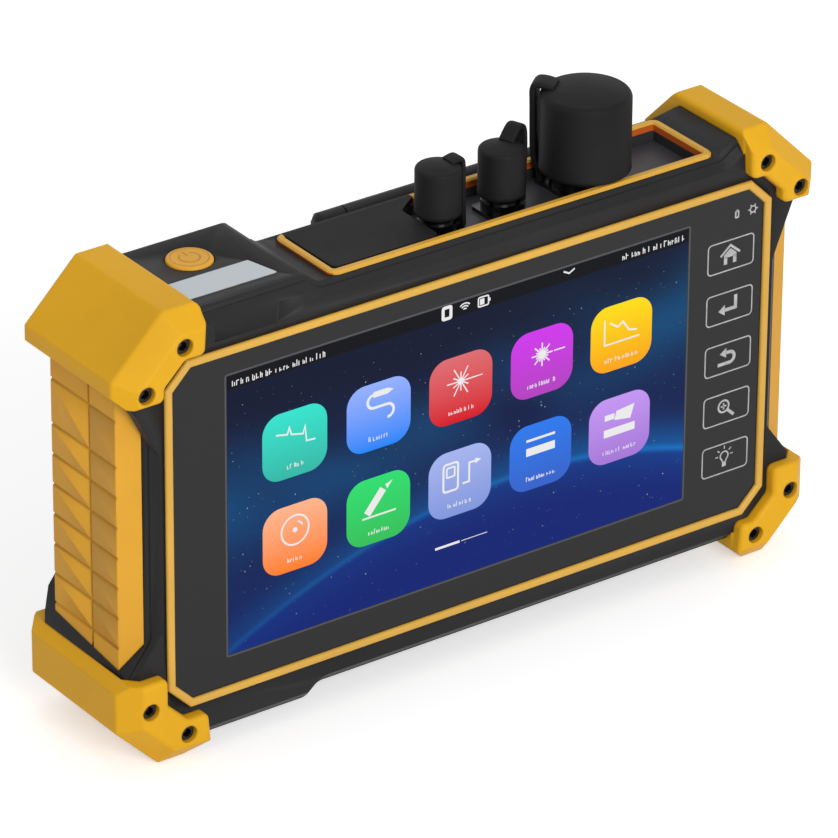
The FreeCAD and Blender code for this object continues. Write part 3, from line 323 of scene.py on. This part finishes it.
facing = tree.nodes.new("ShaderNodeNewGeometry")
slant = tree.nodes.new("ShaderNodeSeparateXYZ")
tree.links.new(facing.outputs["Normal"], slant.inputs["Vector"])
place = tree.nodes.new("ShaderNodeTexCoord")
spot = tree.nodes.new("ShaderNodeSeparateXYZ")
tree.links.new(place.outputs["Object"], spot.inputs["Vector"])
# Painted light and shade of the tray ring: a lit gold, then a shaded orange and a dark grey for
# the shade on its walls.
ring_lit_gold = (0.70, 0.38, 0.045)
ring_shaded_orange = (0.60, 0.12, 0.018)
ring_deep_shade_grey = (0.035, 0.035, 0.038)
ring_shade_depth = 2.4
ring_lit_front = 0.8
ring_blend = 0.2
ring_top_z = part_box("tray_trim")[1].z
ring_front_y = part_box("tray_trim")[0].y
# Painted shade on the inner walls: deeper orange down to 2.4 mm below the top and dark grey below
# that. The front 0.8 mm keeps the lit gold.
near_top = above(tree, spot.outputs["Z"], ring_top_z - ring_shade_depth * mm, ring_blend * mm)
wall = mixed(tree, near_top, ring_deep_shade_grey, ring_shaded_orange)
behind_front = above(tree, spot.outputs["Y"], ring_front_y + ring_lit_front * mm,
                     ring_blend * mm)
wall = mixed(tree, behind_front, ring_lit_gold, wall)
# Painted highlight: faces that turn up get the lit gold, whatever the wall colour below.
lit_faces_up = above(tree, slant.outputs["Z"], 0.4, 0.3)
tree.links.new(mixed(tree, lit_faces_up, wall, ring_lit_gold), shader.inputs["Base Color"])
vary_roughness(tree, shader, object_noise(tree, 90.0), 0.3, 0.42)
add_bump(tree, shader, object_noise(tree, 2400.0), 0.4, 0.00001)
paint(tray_amber_painted_light, "tray_trim")


# ---- cover glass ----------------------------------------------------------------
# One sheet over the screen and the keys, printed black on its back, with a
# thin grey line round the clear window.

glass_black, tree, shader = new_material("glass_black", (0.012, 0.012, 0.013), 0.12)
vary_roughness(tree, shader, object_noise(tree, 35.0), 0.08, 0.16)
paint(glass_black, "cover_glass")
glass_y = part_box("cover_glass")[0].y / mm
layer = 0.03
point_share = 0.0001


def on_glass(points, level):
    """Points of (x, z) laid on the glass, level layers in front of it, in metres."""
    points = np.asarray(points, float)
    depth = np.full(len(points), glass_y - level * layer)
    return np.stack([points[:, 0], depth, points[:, 1]], -1) * mm


def rounded_outline(x, z, width, height, corner, steps=10):
    """Outline of a rectangle with round corners: quarter circles about the four
    corner centres, each from its own quarter turn to the next."""
    turn = np.linspace(0, np.pi / 2, steps)
    quarter = np.arange(4)[:, None] * np.pi / 2 + turn
    side_x = np.array([1, -1, -1, 1])[:, None] * (width / 2 - corner)
    side_z = np.array([1, 1, -1, -1])[:, None] * (height / 2 - corner)
    return np.stack([x + side_x + corner * np.cos(quarter),
                     z + side_z + corner * np.sin(quarter)], -1).reshape(-1, 2)


def arc(x, z, radius, start, end, steps=24):
    """Points of a circle about (x, z) from one angle to another, in degrees."""
    turn = np.radians(np.linspace(start, end, steps))
    return np.stack([x + radius * np.cos(turn), z + radius * np.sin(turn)], -1)


def ribbon(points, width, closed=False):
    """A stroke along a path: each point is moved to both sides along the mean of
    its two segments' normals, by half the width over the half turn's cosine."""
    points = np.asarray(points, float)
    step = (np.roll(points, -1, 0) - points) if closed else np.diff(points, axis=0)
    step = step / np.linalg.norm(step, axis=1)[:, None]
    normal = np.stack([-step[:, 1], step[:, 0]], -1)
    if closed:
        before, after = np.roll(normal, 1, 0), normal
    else:
        before = np.concatenate([normal[:1], normal])
        after = np.concatenate([normal, normal[-1:]])
    mean = before + after
    mean = mean / np.linalg.norm(mean, axis=1)[:, None]
    reach = width / 2 / np.maximum((mean * after).sum(1), 0.35)
    sides = np.concatenate([points + mean * reach[:, None], points - mean * reach[:, None]])
    count = len(points)
    here = np.arange(count if closed else count - 1)
    there = (here + 1) % count
    return sides, np.stack([here, there, there + count, here + count], -1)


def filled(outline):
    """A filled shape: its outline, and the same drawn in almost to its middle."""
    outline = np.asarray(outline, float)
    middle = outline.mean(0)
    share = np.array([1.0, point_share])[:, None, None]
    return (middle + share * (outline - middle)).reshape(-1, 2), grid_faces(2, len(outline), True)


def layer_piece(name, strokes, level, material):
    """One thin printed or lit layer made of several strokes, facing the viewer."""
    points, faces = join(strokes)
    points = on_glass(points, level)
    corner = points[faces]
    turn = np.cross(corner[:, 1] - corner[:, 0], corner[:, 2] - corner[:, 0])[:, 1]
    faces = np.where((turn > 0)[:, None], faces[:, ::-1], faces)
    return add_piece(name, points, faces, material, "case", False)


window_left, window_right = -81.6, 72.9
window_bottom, window_top = 27.2, 112.3
window_x = (window_left + window_right) / 2
window_z = (window_bottom + window_top) / 2
window_width = window_right - window_left
window_height = window_top - window_bottom
window_edge_gap = 0.45
window_line, tree, shader = new_material("window_line", (0.065, 0.068, 0.072), 0.2)
vary_roughness(tree, shader, object_noise(tree, 60.0), 0.16, 0.26)
window_outline = rounded_outline(window_x, window_z, window_width + 2 * window_edge_gap,
                                 window_height + 2 * window_edge_gap, 0.5, 3)
layer_piece("window_edge", [ribbon(window_outline, 0.55, True)], 1, window_line)


# ---- lit screen ------------------------------------------------------------------
# The display behind the glass: a night-sky picture with a dark status bar,
# ten round-cornered tiles with plain signs, and a page mark below them.

def lit_material(name, gloss=0.10):
    """A lit layer under glass: the mesh's own colours glow, with a glossy black face."""
    material, tree, shader = new_material(name, (0.003, 0.003, 0.004), gloss, specular=0.075)
    tint = tree.nodes.new("ShaderNodeVertexColor")
    tint.layer_name = "glow"
    tree.links.new(tint.outputs["Color"], shader.inputs["Emission Color"])
    shader.inputs["Emission Strength"].default_value = 1.0
    vary_roughness(tree, shader, object_noise(tree, 35.0), gloss - 0.03, gloss + 0.04)
    return material


def from_screen(colour):
    """Linear light from values of 0 to 255: the share of full, to the power 2.2,
    less what the glass in front adds by its own shine."""
    glass_shine = 0.010
    return np.maximum((np.asarray(colour, float) / 255) ** 2.2 - glass_shine, 0.0)


def set_glow(piece, colours):
    """Stores one linear colour for each point of a piece."""
    glow = piece.data.color_attributes.new("glow", "FLOAT_COLOR", "POINT")
    shades = np.concatenate([colours, np.ones((len(colours), 1))], 1)
    glow.data.foreach_set("color", shades.astype(np.float32).ravel())


columns, rows = 280, 154
status_bar_z = 107.9
across, up = np.meshgrid(np.linspace(0, 1, columns), np.linspace(0, 1, rows))
sky_points = np.stack([window_left + across.ravel() * window_width,
                       window_bottom + up.ravel() * window_height], -1)
# Sky: a vertical run from deep blue to near black, soft bands of teal light,
# and a rim of light where the height meets a shallow arch.
share_x, share_z = across.ravel()[:, None], up.ravel()[:, None]
low, high = from_screen((30, 48, 104)), from_screen((24, 36, 55))
sky = low + (high - low) * np.clip(share_z * 1.15, 0, 1) ** 0.8
drift = (np.sin(5.3 * share_x + 3.1 * share_z)
         + 0.6 * np.sin(11.7 * share_x - 7.9 * share_z + 1.3))
drift = drift + 0.35 * np.sin(23.0 * share_x + 17.0 * share_z + 0.4)
cloud = np.exp(-((share_z - 0.50 - 0.18 * share_x - 0.03 * drift) / 0.16) ** 2)
sky = sky + cloud * np.clip(0.55 + 0.3 * drift, 0, 2) * from_screen((20, 84, 122)) * 0.75
limb = 0.30 - 0.75 * (share_x - 0.62) ** 2
edge = share_z - limb
rim = np.exp(-(edge / 0.012) ** 2) * 0.5 + np.exp(-(edge / 0.09) ** 2) * 0.45
sky = sky + rim * from_screen((30, 110, 180)) * (0.3 + 0.7 * share_x)
ground = np.clip(-edge / 0.02, 0, 1)
sky = sky * (1 - ground * 0.6) + ground * 0.6 * from_screen((28, 44, 126))
bar = np.clip((sky_points[:, 1:] - status_bar_z) / 0.3, 0, 1)
sky = sky * (1 - bar * 0.92)
sky_picture = add_piece("screen_picture", on_glass(sky_points, 1),
                        grid_faces(rows, columns, False), lit_material("screen_light"),
                        "case", False)
set_glow(sky_picture, sky)

# Stars: small seeded diamonds, most of them faint.
seeded = np.random.default_rng(7)
star_count = 620
centre = seeded.random((star_count, 1, 2)) * [window_width - 2, window_height - 8]
centre = centre + [window_left + 1, window_bottom + 1]
reach = 0.10 + 0.16 * seeded.random((star_count, 1, 1)) ** 3
diamond = np.array([(1, 0), (0, 1), (-1, 0), (0, -1)])
star_points = (centre + reach * diamond).reshape(-1, 2)
stars = (star_points, np.arange(star_count * 4).reshape(-1, 4))
star_piece = layer_piece("screen_stars", [stars], 1.5, lit_material("star_light"))
shine = 0.05 + 0.45 * seeded.random((star_count, 1)) ** 3
set_glow(star_piece, np.repeat(shine, 4, axis=0) * np.array([0.8, 0.95, 1.0]))

tile_x = [-59.7, -32.1, -4.7, 22.8, 50.1]
tile_z = [85.8, 56.9]
tile_size = 21.2
tile_height = 20.4
tile_corner = 5.8
tile_tints = [[((60, 228, 205), (60, 182, 165)), ((150, 176, 255), (44, 132, 250)),
               ((222, 110, 114), (214, 34, 44)), ((208, 62, 238), (178, 70, 190)),
               ((255, 222, 20), (250, 162, 26))],
              [((255, 180, 140), (255, 126, 44)), ((54, 222, 112), (60, 190, 92)),
               ((165, 180, 238), (130, 150, 220)), ((52, 122, 238), (60, 100, 200)),
               ((195, 150, 243), (165, 120, 214))]]
tiles, tile_glow = [], []
for z, tints in zip(tile_z, tile_tints):
    for x, (top_tint, low_tint) in zip(tile_x, tints):
        outline = rounded_outline(x, z, tile_size, tile_height, tile_corner)
        share = np.linspace(1, point_share, 9)[:, None, None]
        spots = (np.array([x, z]) + share * (outline - np.array([x, z]))).reshape(-1, 2)
        tiles.append((spots, grid_faces(9, len(outline), True)))
        height = ((spots[:, 1:] - z) / tile_height + 0.5)
        tile_glow.append(from_screen(low_tint) + height * (from_screen(top_tint)
                         - from_screen(low_tint)))
tile_piece = layer_piece("screen_tiles", tiles, 2, lit_material("tile_light"))
set_glow(tile_piece, np.concatenate(tile_glow))


def placed(strokes, x, z, size=1.0):
    """The same strokes moved to (x, z) and scaled."""
    return [(points * size + np.array([x, z]), faces) for points, faces in strokes]


def star_sign(rays, inner, outer, width):
    """Rays at even angles, alternately long and short, with a dot in the middle."""
    turn = np.arange(rays) * 2 * np.pi / rays
    reach = np.where(np.arange(rays) % 2 == 0, outer, outer * 0.62)
    way = np.stack([np.cos(turn), np.sin(turn)], -1)
    strokes = [ribbon(np.stack([inner * w, r * w]), width) for w, r in zip(way, reach)]
    return strokes + [filled(arc(0, 0, inner * 1.3, 0, 345, 24))]


def word(length, size, seed):
    """A line of small upright and level marks, seeded, that stands for a short word."""
    chance = np.random.default_rng(seed)
    strokes = []
    along = -length / 2
    while along < length / 2:
        width = size * chance.uniform(0.34, 0.56)
        tall = size * chance.uniform(0.55, 1.0)
        low = -size / 2
        strokes.append(ribbon([(along, low), (along, low + tall)], 0.15 * size))
        if chance.random() < 0.6:
            level = low + tall * chance.uniform(0.0, 1.0)
            strokes.append(ribbon([(along, level), (along + width * 0.7, level)], 0.15 * size))
        if chance.random() < 0.5:
            strokes.append(ribbon([(along + width * 0.65, low),
                                   (along + width * 0.65, low + tall * 0.7)], 0.15 * size))
        along += width + size * chance.choice([0.16, 0.16, 0.16, 0.16, 0.5])
    return strokes


# One sign a tile, in reading order: a trace, a lead with its plug, a beam, a light
# source, a graph, a dial, a pen, a meter with its lead, two bars and a hand tool.
signs = [
    [ribbon([(-5.5, 1.6), (-2.2, 0.9), (-1.6, 2.6), (-1.0, 0.6), (2.4, -0.2), (3.0, 1.8),
             (3.4, -2.4), (6.0, -2.6)], 0.45)],
    [ribbon(np.concatenate([arc(-1.5, 2.2, 1.8, 90, 270, 14),
                            arc(2.6, -1.4, 1.8, 90, -90, 14)]), 0.75),
     filled([(-1.6, 3.2), (2.6, 3.2), (4.4, 4.0), (2.6, 4.8), (-1.6, 4.8)])],
    star_sign(12, 0.7, 4.2, 0.35) + [ribbon([(0, 0), (6.5, 0)], 0.3)],
    star_sign(16, 0.9, 3.2, 0.4) + [ribbon([(3.6, 0), (7.0, 0)], 0.35)],
    [ribbon([(-5.2, -3.4), (-5.2, 3.6)], 0.45), ribbon([(-5.2, -3.4), (5.6, -3.4)], 0.45),
     ribbon([(-3.6, 2.4), (-1.2, 0.8), (0.4, 1.8), (2.4, -1.0), (4.8, -1.6)], 0.5)],
    [ribbon(arc(0, 0, 4.0, 0, 352.5, 48), 0.5, True), filled(arc(0, 0, 0.7, 0, 345, 24)),
     ribbon(arc(0, 0, 2.3, 20, 70, 12), 0.4)],
    [ribbon([(-3.4, -2.6), (1.4, 3.2)], 2.2), ribbon([(-4.8, -3.6), (5.2, -3.6)], 0.5),
     filled([(2.6, 2.9), (4.2, 4.9), (2.0, 4.2)])],
    [ribbon(rounded_outline(-2.8, 0, 4.4, 7.6, 0.8, 5), 0.6, True),
     ribbon(rounded_outline(-2.8, 1.4, 2.4, 2.6, 0.3, 3), 0.5, True),
     ribbon([(0.8, -2.8), (2.8, -2.8), (2.8, 2.4), (5.0, 2.4)], 0.55),
     filled([(4.6, 1.6), (6.4, 2.4), (4.6, 3.2)])],
    [ribbon([(-4.4, 2.8), (4.4, 2.8)], 0.7), ribbon([(-4.4, -0.4), (4.4, -0.4)], 2.2)],
    [ribbon([(-4.8, -2.6), (4.8, -2.6)], 2.2), ribbon([(-4.6, 1.8), (-1.6, 1.8)], 1.6),
     filled([(-1.6, 0.6), (3.4, -0.2), (4.6, 3.6), (-1.0, 3.0)])],
]
sign_strokes = []
for index, sign in enumerate(signs):
    x, z = tile_x[index % 5], tile_z[index // 5]
    sign_strokes += placed(sign, x, z + 2.2, 1.12)
    length = 5.0 + 1.5 * (index % 5)
    sign_strokes += placed(word(length, 1.5, index), x, z - 6.6)
sign_strokes += placed(word(30.0, 2.0, 21), -64.8, 109.9)
sign_strokes += placed(word(22.0, 2.0, 22), 61.0, 110.1)
sign_strokes += placed([ribbon(rounded_outline(0, 0, 2.6, 3.4, 0.4, 4), 1.0, True)], -9.6, 110.2)
sign_strokes += placed([ribbon(rounded_outline(0, 0, 3.4, 2.8, 0.4, 4), 0.45, True),
                        ribbon([(2.1, -0.5), (2.1, 0.5)], 0.5),
                        ribbon([(-1.2, 0), (0.3, 0)], 1.8)], 2.6, 110.3)
sign_strokes += placed([ribbon(arc(0, -1.0, r, 45, 135, 10), 0.4) for r in (0.7, 1.5, 2.3)],
                       -3.6, 110.2)
sign_strokes += placed([ribbon([(-1.9, 0.5), (0, -0.5), (1.9, 0.5)], 0.5)], 31.6, 110.9)
page_mark_z = 38.0
sign_strokes += [ribbon([(-12.9, page_mark_z), (-4.6, page_mark_z)], 0.75),
                 ribbon([(-4.0, page_mark_z), (4.8, page_mark_z)], 0.22)]
sign_piece = layer_piece("screen_signs", sign_strokes, 3, lit_material("sign_light"))
set_glow(sign_piece, np.full((len(sign_piece.data.vertices), 3), 0.82))


# ---- touch keys --------------------------------------------------------------------
# Five keys down the right side, printed in light grey on the back of the glass,
# with two small indicators above them.

key_x = 88.0
key_z = [99.9, 83.8, 67.7, 51.7, 35.6]
home = [ribbon([(-3.7, 0.2), (0, 3.3), (3.7, 0.2)], 0.75),
        filled([(-2.4, 0.3), (0, 2.3), (2.4, 0.3), (2.4, -0.6), (-2.4, -0.6)]),
        ribbon([(-1.75, -0.4), (-1.75, -2.9)], 1.3), ribbon([(1.75, -0.4), (1.75, -2.9)], 1.3)]
enter = [ribbon([(2.6, 3.4), (2.6, -0.9), (-1.6, -0.9)], 1.2),
         filled([(-1.5, 0.9), (-4.0, -0.9), (-1.5, -2.7)])]
back = [ribbon(np.concatenate([[(-0.6, 1.7)], arc(0.9, -0.1, 1.8, 90, -90, 16),
                               [(-3.6, -1.9)]]), 1.15),
        filled([(-0.4, 3.4), (-2.9, 1.7), (-0.4, 0.0)])]
magnifier = [ribbon(arc(-0.8, 0.7, 2.0, 0, 350, 36), 0.65, True),
             ribbon([(-1.9, 0.7), (0.3, 0.7)], 0.55), ribbon([(-0.8, -0.4), (-0.8, 1.8)], 0.55),
             ribbon([(0.8, -0.9), (3.2, -3.2)], 1.0)]
rays = np.radians([0, 40, 90, 140, 180])
bulb = [ribbon(np.concatenate([[(-0.6, -1.2)], arc(0, 0.8, 1.5, 232, -52, 26), [(0.6, -1.2)]]),
               0.5), ribbon([(0, -1.2), (0, -2.9)], 1.5)]
bulb += [ribbon([(2.3 * np.cos(t), 0.9 + 2.3 * np.sin(t)), (3.4 * np.cos(t),
         0.9 + 3.4 * np.sin(t))], 0.4) for t in rays]
key_strokes = []
for z, icon in zip(key_z, (home, enter, back, magnifier, bulb)):
    key_strokes.append(ribbon(rounded_outline(key_x, z, 16.0, 9.3, 1.2, 6), 0.4, True))
    key_strokes += placed(icon, key_x - 0.2, z, 0.92)
key_strokes += placed([ribbon(rounded_outline(0, -0.1, 1.0, 1.9, 0.2, 3), 0.5, True),
                       ribbon([(0, 0.9), (0, 1.4)], 0.6)], 89.8, 112.0)
key_strokes += placed([ribbon(arc(0, 0, 1.0, 0, 330, 12), 0.4, True)]
                      + [ribbon([(1.2 * np.cos(t), 1.2 * np.sin(t)), (1.7 * np.cos(t),
                         1.7 * np.sin(t))], 0.4) for t in np.radians(np.arange(0, 360, 60))],
                      95.4, 112.0)
print_grey, tree, shader = new_material("print_grey", (0.46, 0.46, 0.46), 0.3)
vary_colour(tree, shader, object_noise(tree, 400.0), (0.40, 0.40, 0.40), (0.50, 0.50, 0.50))
layer_piece("key_print", key_strokes, 1, print_grey)


# ---- port tray, sockets and adapters --------------------------------------------
# Grey moulded floor, plated sockets, and optical adapters with dark plated collars.

tray_grey = moulded("tray_grey", (0.042, 0.044, 0.050), 0.40, 2200.0, 0.00002)
paint(tray_grey, "port_tray")
nickel, tree, shader = new_material("nickel", (0.55, 0.54, 0.52), 0.2, 1.0)
vary_roughness(tree, shader, object_noise(tree, 700.0, 2.0, (1, 1, 8)), 0.14, 0.32)
paint(nickel, "usb_socket", "network_socket")
dark_plate, tree, shader = new_material("dark_plate", (0.07, 0.07, 0.073), 0.22, 1.0)
vary_roughness(tree, shader, object_noise(tree, 700.0, 2.0, (1, 1, 8)), 0.18, 0.32)
paint(dark_plate, "adapter_1", "adapter_2", "adapter_3")
socket_black = moulded("socket_black", (0.02, 0.02, 0.021), 0.5)
paint(socket_black, "dc_jack")


# ---- rubber caps -------------------------------------------------------------------
# Soft black rubber cups pushed over the optical adapters: a straight wall with a
# thin lip at its foot, a soft shoulder and a slightly domed crown.

cap_black = moulded("cap_black", (0.010, 0.010, 0.0105), 0.60, 1400.0, 0.00003,
                    specular=0.125)
paint(cap_black, "port_cover")
cap_roof = 3.2
cap_bore = [9.6, 9.6, 18.0]
cap_shoulder = [1.3, 1.3, 1.9]
cap_dome = [0.8, 0.8, 1.5]
cap_skirt = 1.6
cap_lip_h = 1.6
cap_lip_proud = 0.12
cap_lip_bevel = 0.35
cap_x = [-0.6, 20.6, 49.2]
cap_y = (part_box("dust_cap_1")[0].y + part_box("dust_cap_1")[1].y) / 2 / mm


def cap_profile(radius, foot, top, bore, shoulder, dome):
    """Half section of a cup, from the middle of its roof's underside round to its
    crown's middle. The shoulder is a quarter circle, and the crown a shallow dome
    whose height falls with the square of the distance from the axis."""
    inner = bore / 2 + 0.3
    roof = top - cap_roof
    turn = np.linspace(0, np.pi / 2, 9)
    corner_z = top - dome - shoulder
    bend_r = radius - shoulder + shoulder * np.cos(turn)
    bend_z = corner_z + shoulder * np.sin(turn)
    crown_r = np.linspace(radius - shoulder, 0, 9)[1:]
    crown_z = top - dome * (crown_r / (radius - shoulder)) ** 2
    return np.concatenate([[(0, roof), (inner - 0.5, roof), (inner, roof - 0.5),
                            (inner, foot), (radius - cap_lip_bevel, foot),
                            (radius, foot + cap_lip_bevel), (radius, foot + cap_lip_h - 0.3),
                            (radius - cap_lip_proud, foot + cap_lip_h)],
                           np.stack([bend_r - cap_lip_proud, bend_z], -1),
                           np.stack([crown_r, crown_z], -1)])


def revolved(profile, x, y, steps=96):
    """A half section turned about the upright axis through (x, y)."""
    turn = np.linspace(0, 2 * np.pi, steps, endpoint=False)
    radius, height = profile[:, :1], profile[:, 1:]
    points = np.stack([x + radius * np.cos(turn), y + radius * np.sin(turn),
                       height + 0 * turn], -1)
    return points.reshape(-1, 3) * mm, grid_faces(len(profile), steps, True)


for index in range(3):
    name = "dust_cap_%d" % (index + 1)
    low_corner, high_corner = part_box(name)
    middle_y = (low_corner.y + high_corner.y) / 2 / mm
    radius = (high_corner.y - low_corner.y) / 2 / mm
    profile = cap_profile(radius, low_corner.z / mm - cap_skirt, high_corner.z / mm,
                          cap_bore[index], cap_shoulder[index], cap_dome[index])
    points, faces = revolved(profile, cap_x[index], middle_y)
    cap = add_piece("rubber_cap_%d" % (index + 1), points, faces, cap_black,
                    "cap_%d" % (index + 1))
    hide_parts(name)


# ---- tethers -----------------------------------------------------------------------
# Soft rubber straps that keep the caps on the tester: each is buttoned to the tray
# floor, rises beside its cap, turns over the shoulder and is moulded to the crown.

def smoothed(points, rounds=4):
    """Corner cutting: each round puts two points on every run, at a quarter and at
    three quarters of it, and keeps the two ends."""
    points = np.asarray(points, float)
    for _ in range(rounds):
        start, end = points[:-1], points[1:]
        cut = np.stack([0.75 * start + 0.25 * end, 0.25 * start + 0.75 * end], 1)
        points = np.concatenate([points[:1], cut.reshape(-1, points.shape[1]), points[-1:]])
    return points


def strap(x, y, azimuth, path, width, thickness):
    """A flat strap along a path of (distance from the cap's axis, height), in the
    upright plane at azimuth. Its section is a rectangle with round corners, a
    circle's points drawn out by the square root of their cosine and sine."""
    path = smoothed(path)
    along = np.gradient(path, axis=0)
    along = along / np.linalg.norm(along, axis=1)[:, None]
    turn = np.linspace(0, 2 * np.pi, 20, endpoint=False)
    across = width / 2 * np.sign(np.cos(turn)) * np.abs(np.cos(turn)) ** 0.45
    thick = thickness / 2 * np.sign(np.sin(turn)) * np.abs(np.sin(turn)) ** 0.45
    scale = np.ones((len(path) + 2, 1))
    scale[[0, -1]] = point_share
    path = np.concatenate([path[:1], path, path[-1:]])
    along = np.concatenate([along[:1], along, along[-1:]])
    radius = path[:, :1] + along[:, 1:] * thick * scale
    height = path[:, 1:] - along[:, :1] * thick * scale
    side = across * scale
    way = np.radians(azimuth)
    points = np.stack([x + radius * np.cos(way) - side * np.sin(way),
                       y + radius * np.sin(way) + side * np.cos(way), height], -1)
    return points.reshape(-1, 3) * mm, grid_faces(len(path), len(turn), True)


floor_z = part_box("cap_tether_1")[0].z / mm
strap_width = [4.6, 4.6, 6.6]
strap_thickness = [1.5, 1.5, 2.0]
strap_azimuth = [2, 22, 130]
strap_paths = [
    [(3.2, 145.6), (5.2, 146.1), (7.1, 146.0), (7.35, 143.0), (7.35, 134.0), (7.6, 128.0),
     (7.6, floor_z + 0.4)],
    [(2.4, 145.7), (4.4, 147.6), (6.8, 149.2), (9.2, 148.0), (9.6, 143.0), (9.3, 134.0),
     (9.0, 128.0), (9.0, floor_z + 0.4)],
    [(8.5, 154.8), (12.0, 155.6), (14.6, 155.2), (14.4, 150.0), (14.3, 140.0), (14.1, 133.0),
     (12.4, 130.2), (12.2, 128.0), (12.2, floor_z + 0.4)],
]
for index, path in enumerate(strap_paths):
    node = "cap_tether_%d" % (index + 1)
    points, faces = strap(cap_x[index], cap_y, strap_azimuth[index], path,
                          strap_width[index], strap_thickness[index])
    way = np.radians(strap_azimuth[index])
    foot_x = cap_x[index] + path[-1][0] * np.cos(way)
    foot_y = cap_y + path[-1][0] * np.sin(way)
    stud = np.array([(0, 0), (1.5, 0), (1.5, 0.7), (1.2, 1.0), (0, 1.0)]) + (0, floor_z)
    points, faces = join([(points, faces), revolved(stud, foot_x, foot_y, 32)])
    tether = add_piece("tether_strap_%d" % (index + 1), points, faces, cap_black, None)
    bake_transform(tether)
    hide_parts(node)


# ---- power button and strip -----------------------------------------------------
# Orange satin button with a printed power sign, and a bare brushed strip let
# into the plastic beside it.

button_orange = moulded("button_orange", (0.76, 0.38, 0.030), 0.42, 2400.0, 0.00001)
paint(button_orange, "power_button")
button_low, button_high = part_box("power_button")
button_x = (button_low.x + button_high.x) / 2 / mm
button_y = (button_low.y + button_high.y) / 2 / mm
marks = [ribbon(arc(button_x, button_y, 2.9, 122, 418, 36), 0.5),
         ribbon([(button_x, button_y + 1.0), (button_x, button_y + 3.6)], 0.5),
         ribbon(arc(button_x, button_y, 5.3, 0, 352.5, 48), 0.25, True)]
points, faces = join(marks)
points = np.stack([points[:, 0] * mm, points[:, 1] * mm,
                   np.full(len(points), button_high.z + layer * mm)], -1)
print_orange, tree, shader = new_material("print_orange", (0.52, 0.24, 0.02), 0.5)
vary_colour(tree, shader, object_noise(tree, 300.0), (0.48, 0.22, 0.018), (0.56, 0.26, 0.022))
add_piece("power_sign", points, faces, print_orange, "button", False)
strip_metal, tree, shader = new_material("strip_metal", (0.52, 0.56, 0.59), 0.46, 0.4)
vary_roughness(tree, shader, object_noise(tree, 500.0, 2.0, (0.1, 6, 1)), 0.36, 0.52)
paint(strip_metal, "strip_plate")


# ---- inner pieces ---------------------------------------------------------------
# Boards, screened boxes and the battery, closed in by the shells.

board_green = moulded("board_green", (0.03, 0.16, 0.07), 0.4)
paint(board_green, "key_board", "main_board", "port_board", "power_switch")
sheet_metal, tree, shader = new_material("sheet_metal", (0.55, 0.56, 0.57), 0.35, 1.0)
vary_roughness(tree, shader, object_noise(tree, 300.0, 2.0, (1, 8, 1)), 0.28, 0.45)
paint(sheet_metal, "chassis", "optical_module")
battery_black = moulded("battery_black", (0.04, 0.04, 0.045), 0.5)
paint(battery_black, "battery_pack")
panel_black = moulded("panel_black", (0.02, 0.02, 0.022), 0.3)
paint(panel_black, "display_module")


# ---- studio ---------------------------------------------------------------------
# White sweep that shows as white, soft lamps, and the camera.

def backdrop_rays(tree):
    """1 for the rays that show the background: from the camera, or on from glass and metal."""
    path = tree.nodes.new("ShaderNodeLightPath")
    seen = path.outputs["Is Camera Ray"]
    for kind in ("Is Transmission Ray", "Is Glossy Ray"):
        either = tree.nodes.new("ShaderNodeMath")
        either.operation = "MAXIMUM"
        tree.links.new(seen, either.inputs[0])
        tree.links.new(path.outputs[kind], either.inputs[1])
        seen = either.outputs["Value"]
    return seen


floor_glow = 0.50
sky_light = 0.50
sky_white = 1.0
floor_white, tree, shader = new_material("floor_white", (0.80, 0.80, 0.80), 0.9, 0.0, 0.0)
lift = tree.nodes.new("ShaderNodeMath")
lift.operation = "MULTIPLY"
lift.inputs[1].default_value = floor_glow
tree.links.new(backdrop_rays(tree), lift.inputs[0])
shader.inputs["Emission Color"].default_value = (1, 1, 1, 1)
tree.links.new(lift.outputs["Value"], shader.inputs["Emission Strength"])
bpy.ops.mesh.primitive_plane_add(size=12.0, location=(0, 0, -0.0005))
floor = bpy.context.object
floor.name = "studio_floor"
floor.data.materials.append(floor_white)

world = bpy.data.worlds.new("studio_world")
bpy.context.scene.world = world
world.use_nodes = True
sky_tree = world.node_tree
backdrop = sky_tree.nodes["Background"]
backdrop.inputs["Color"].default_value = (1, 1, 1, 1)
span = sky_tree.nodes.new("ShaderNodeMapRange")
span.inputs["To Min"].default_value = sky_light
span.inputs["To Max"].default_value = sky_white
sky_tree.links.new(backdrop_rays(sky_tree), span.inputs["Value"])
sky_tree.links.new(span.outputs["Result"], backdrop.inputs["Strength"])


def soft_lamp(name, place, aim, size, power):
    """Square area lamp at place, turned to aim."""
    data = bpy.data.lights.new(name, "AREA")
    data.size = size
    data.energy = power
    lamp = bpy.data.objects.new(name, data)
    bpy.context.scene.collection.objects.link(lamp)
    lamp.location = place
    lamp.rotation_euler = (Vector(aim) - Vector(place)).to_track_quat("-Z", "Y").to_euler()


soft_lamp("key_lamp", (-0.30, -1.6, 0.80), (0, 0, 0.07), 0.9, 18)
soft_lamp("top_lamp", (0.2, 0.2, 1.5), (0, 0, 0.07), 1.0, 2.5)

camera_data = bpy.data.cameras.new("camera")
camera = bpy.data.objects.new("camera", camera_data)
bpy.context.scene.collection.objects.link(camera)
bpy.context.scene.camera = camera
camera_data.sensor_width = 36.0
camera_data.lens = 296.74
camera_data.clip_start = 0.05
camera_data.clip_end = 50.0
camera.location = (-0.98754, -1.36794, 0.96351)
camera_aim = Vector((-0.01863, -0.0225, 0.08047))
camera.rotation_euler = (camera_aim - camera.location).to_track_quat("-Z", "Y").to_euler()
camera.rotation_euler.rotate_axis("Z", 0.00723)

bpy.context.scene.view_settings.view_transform = "Standard"
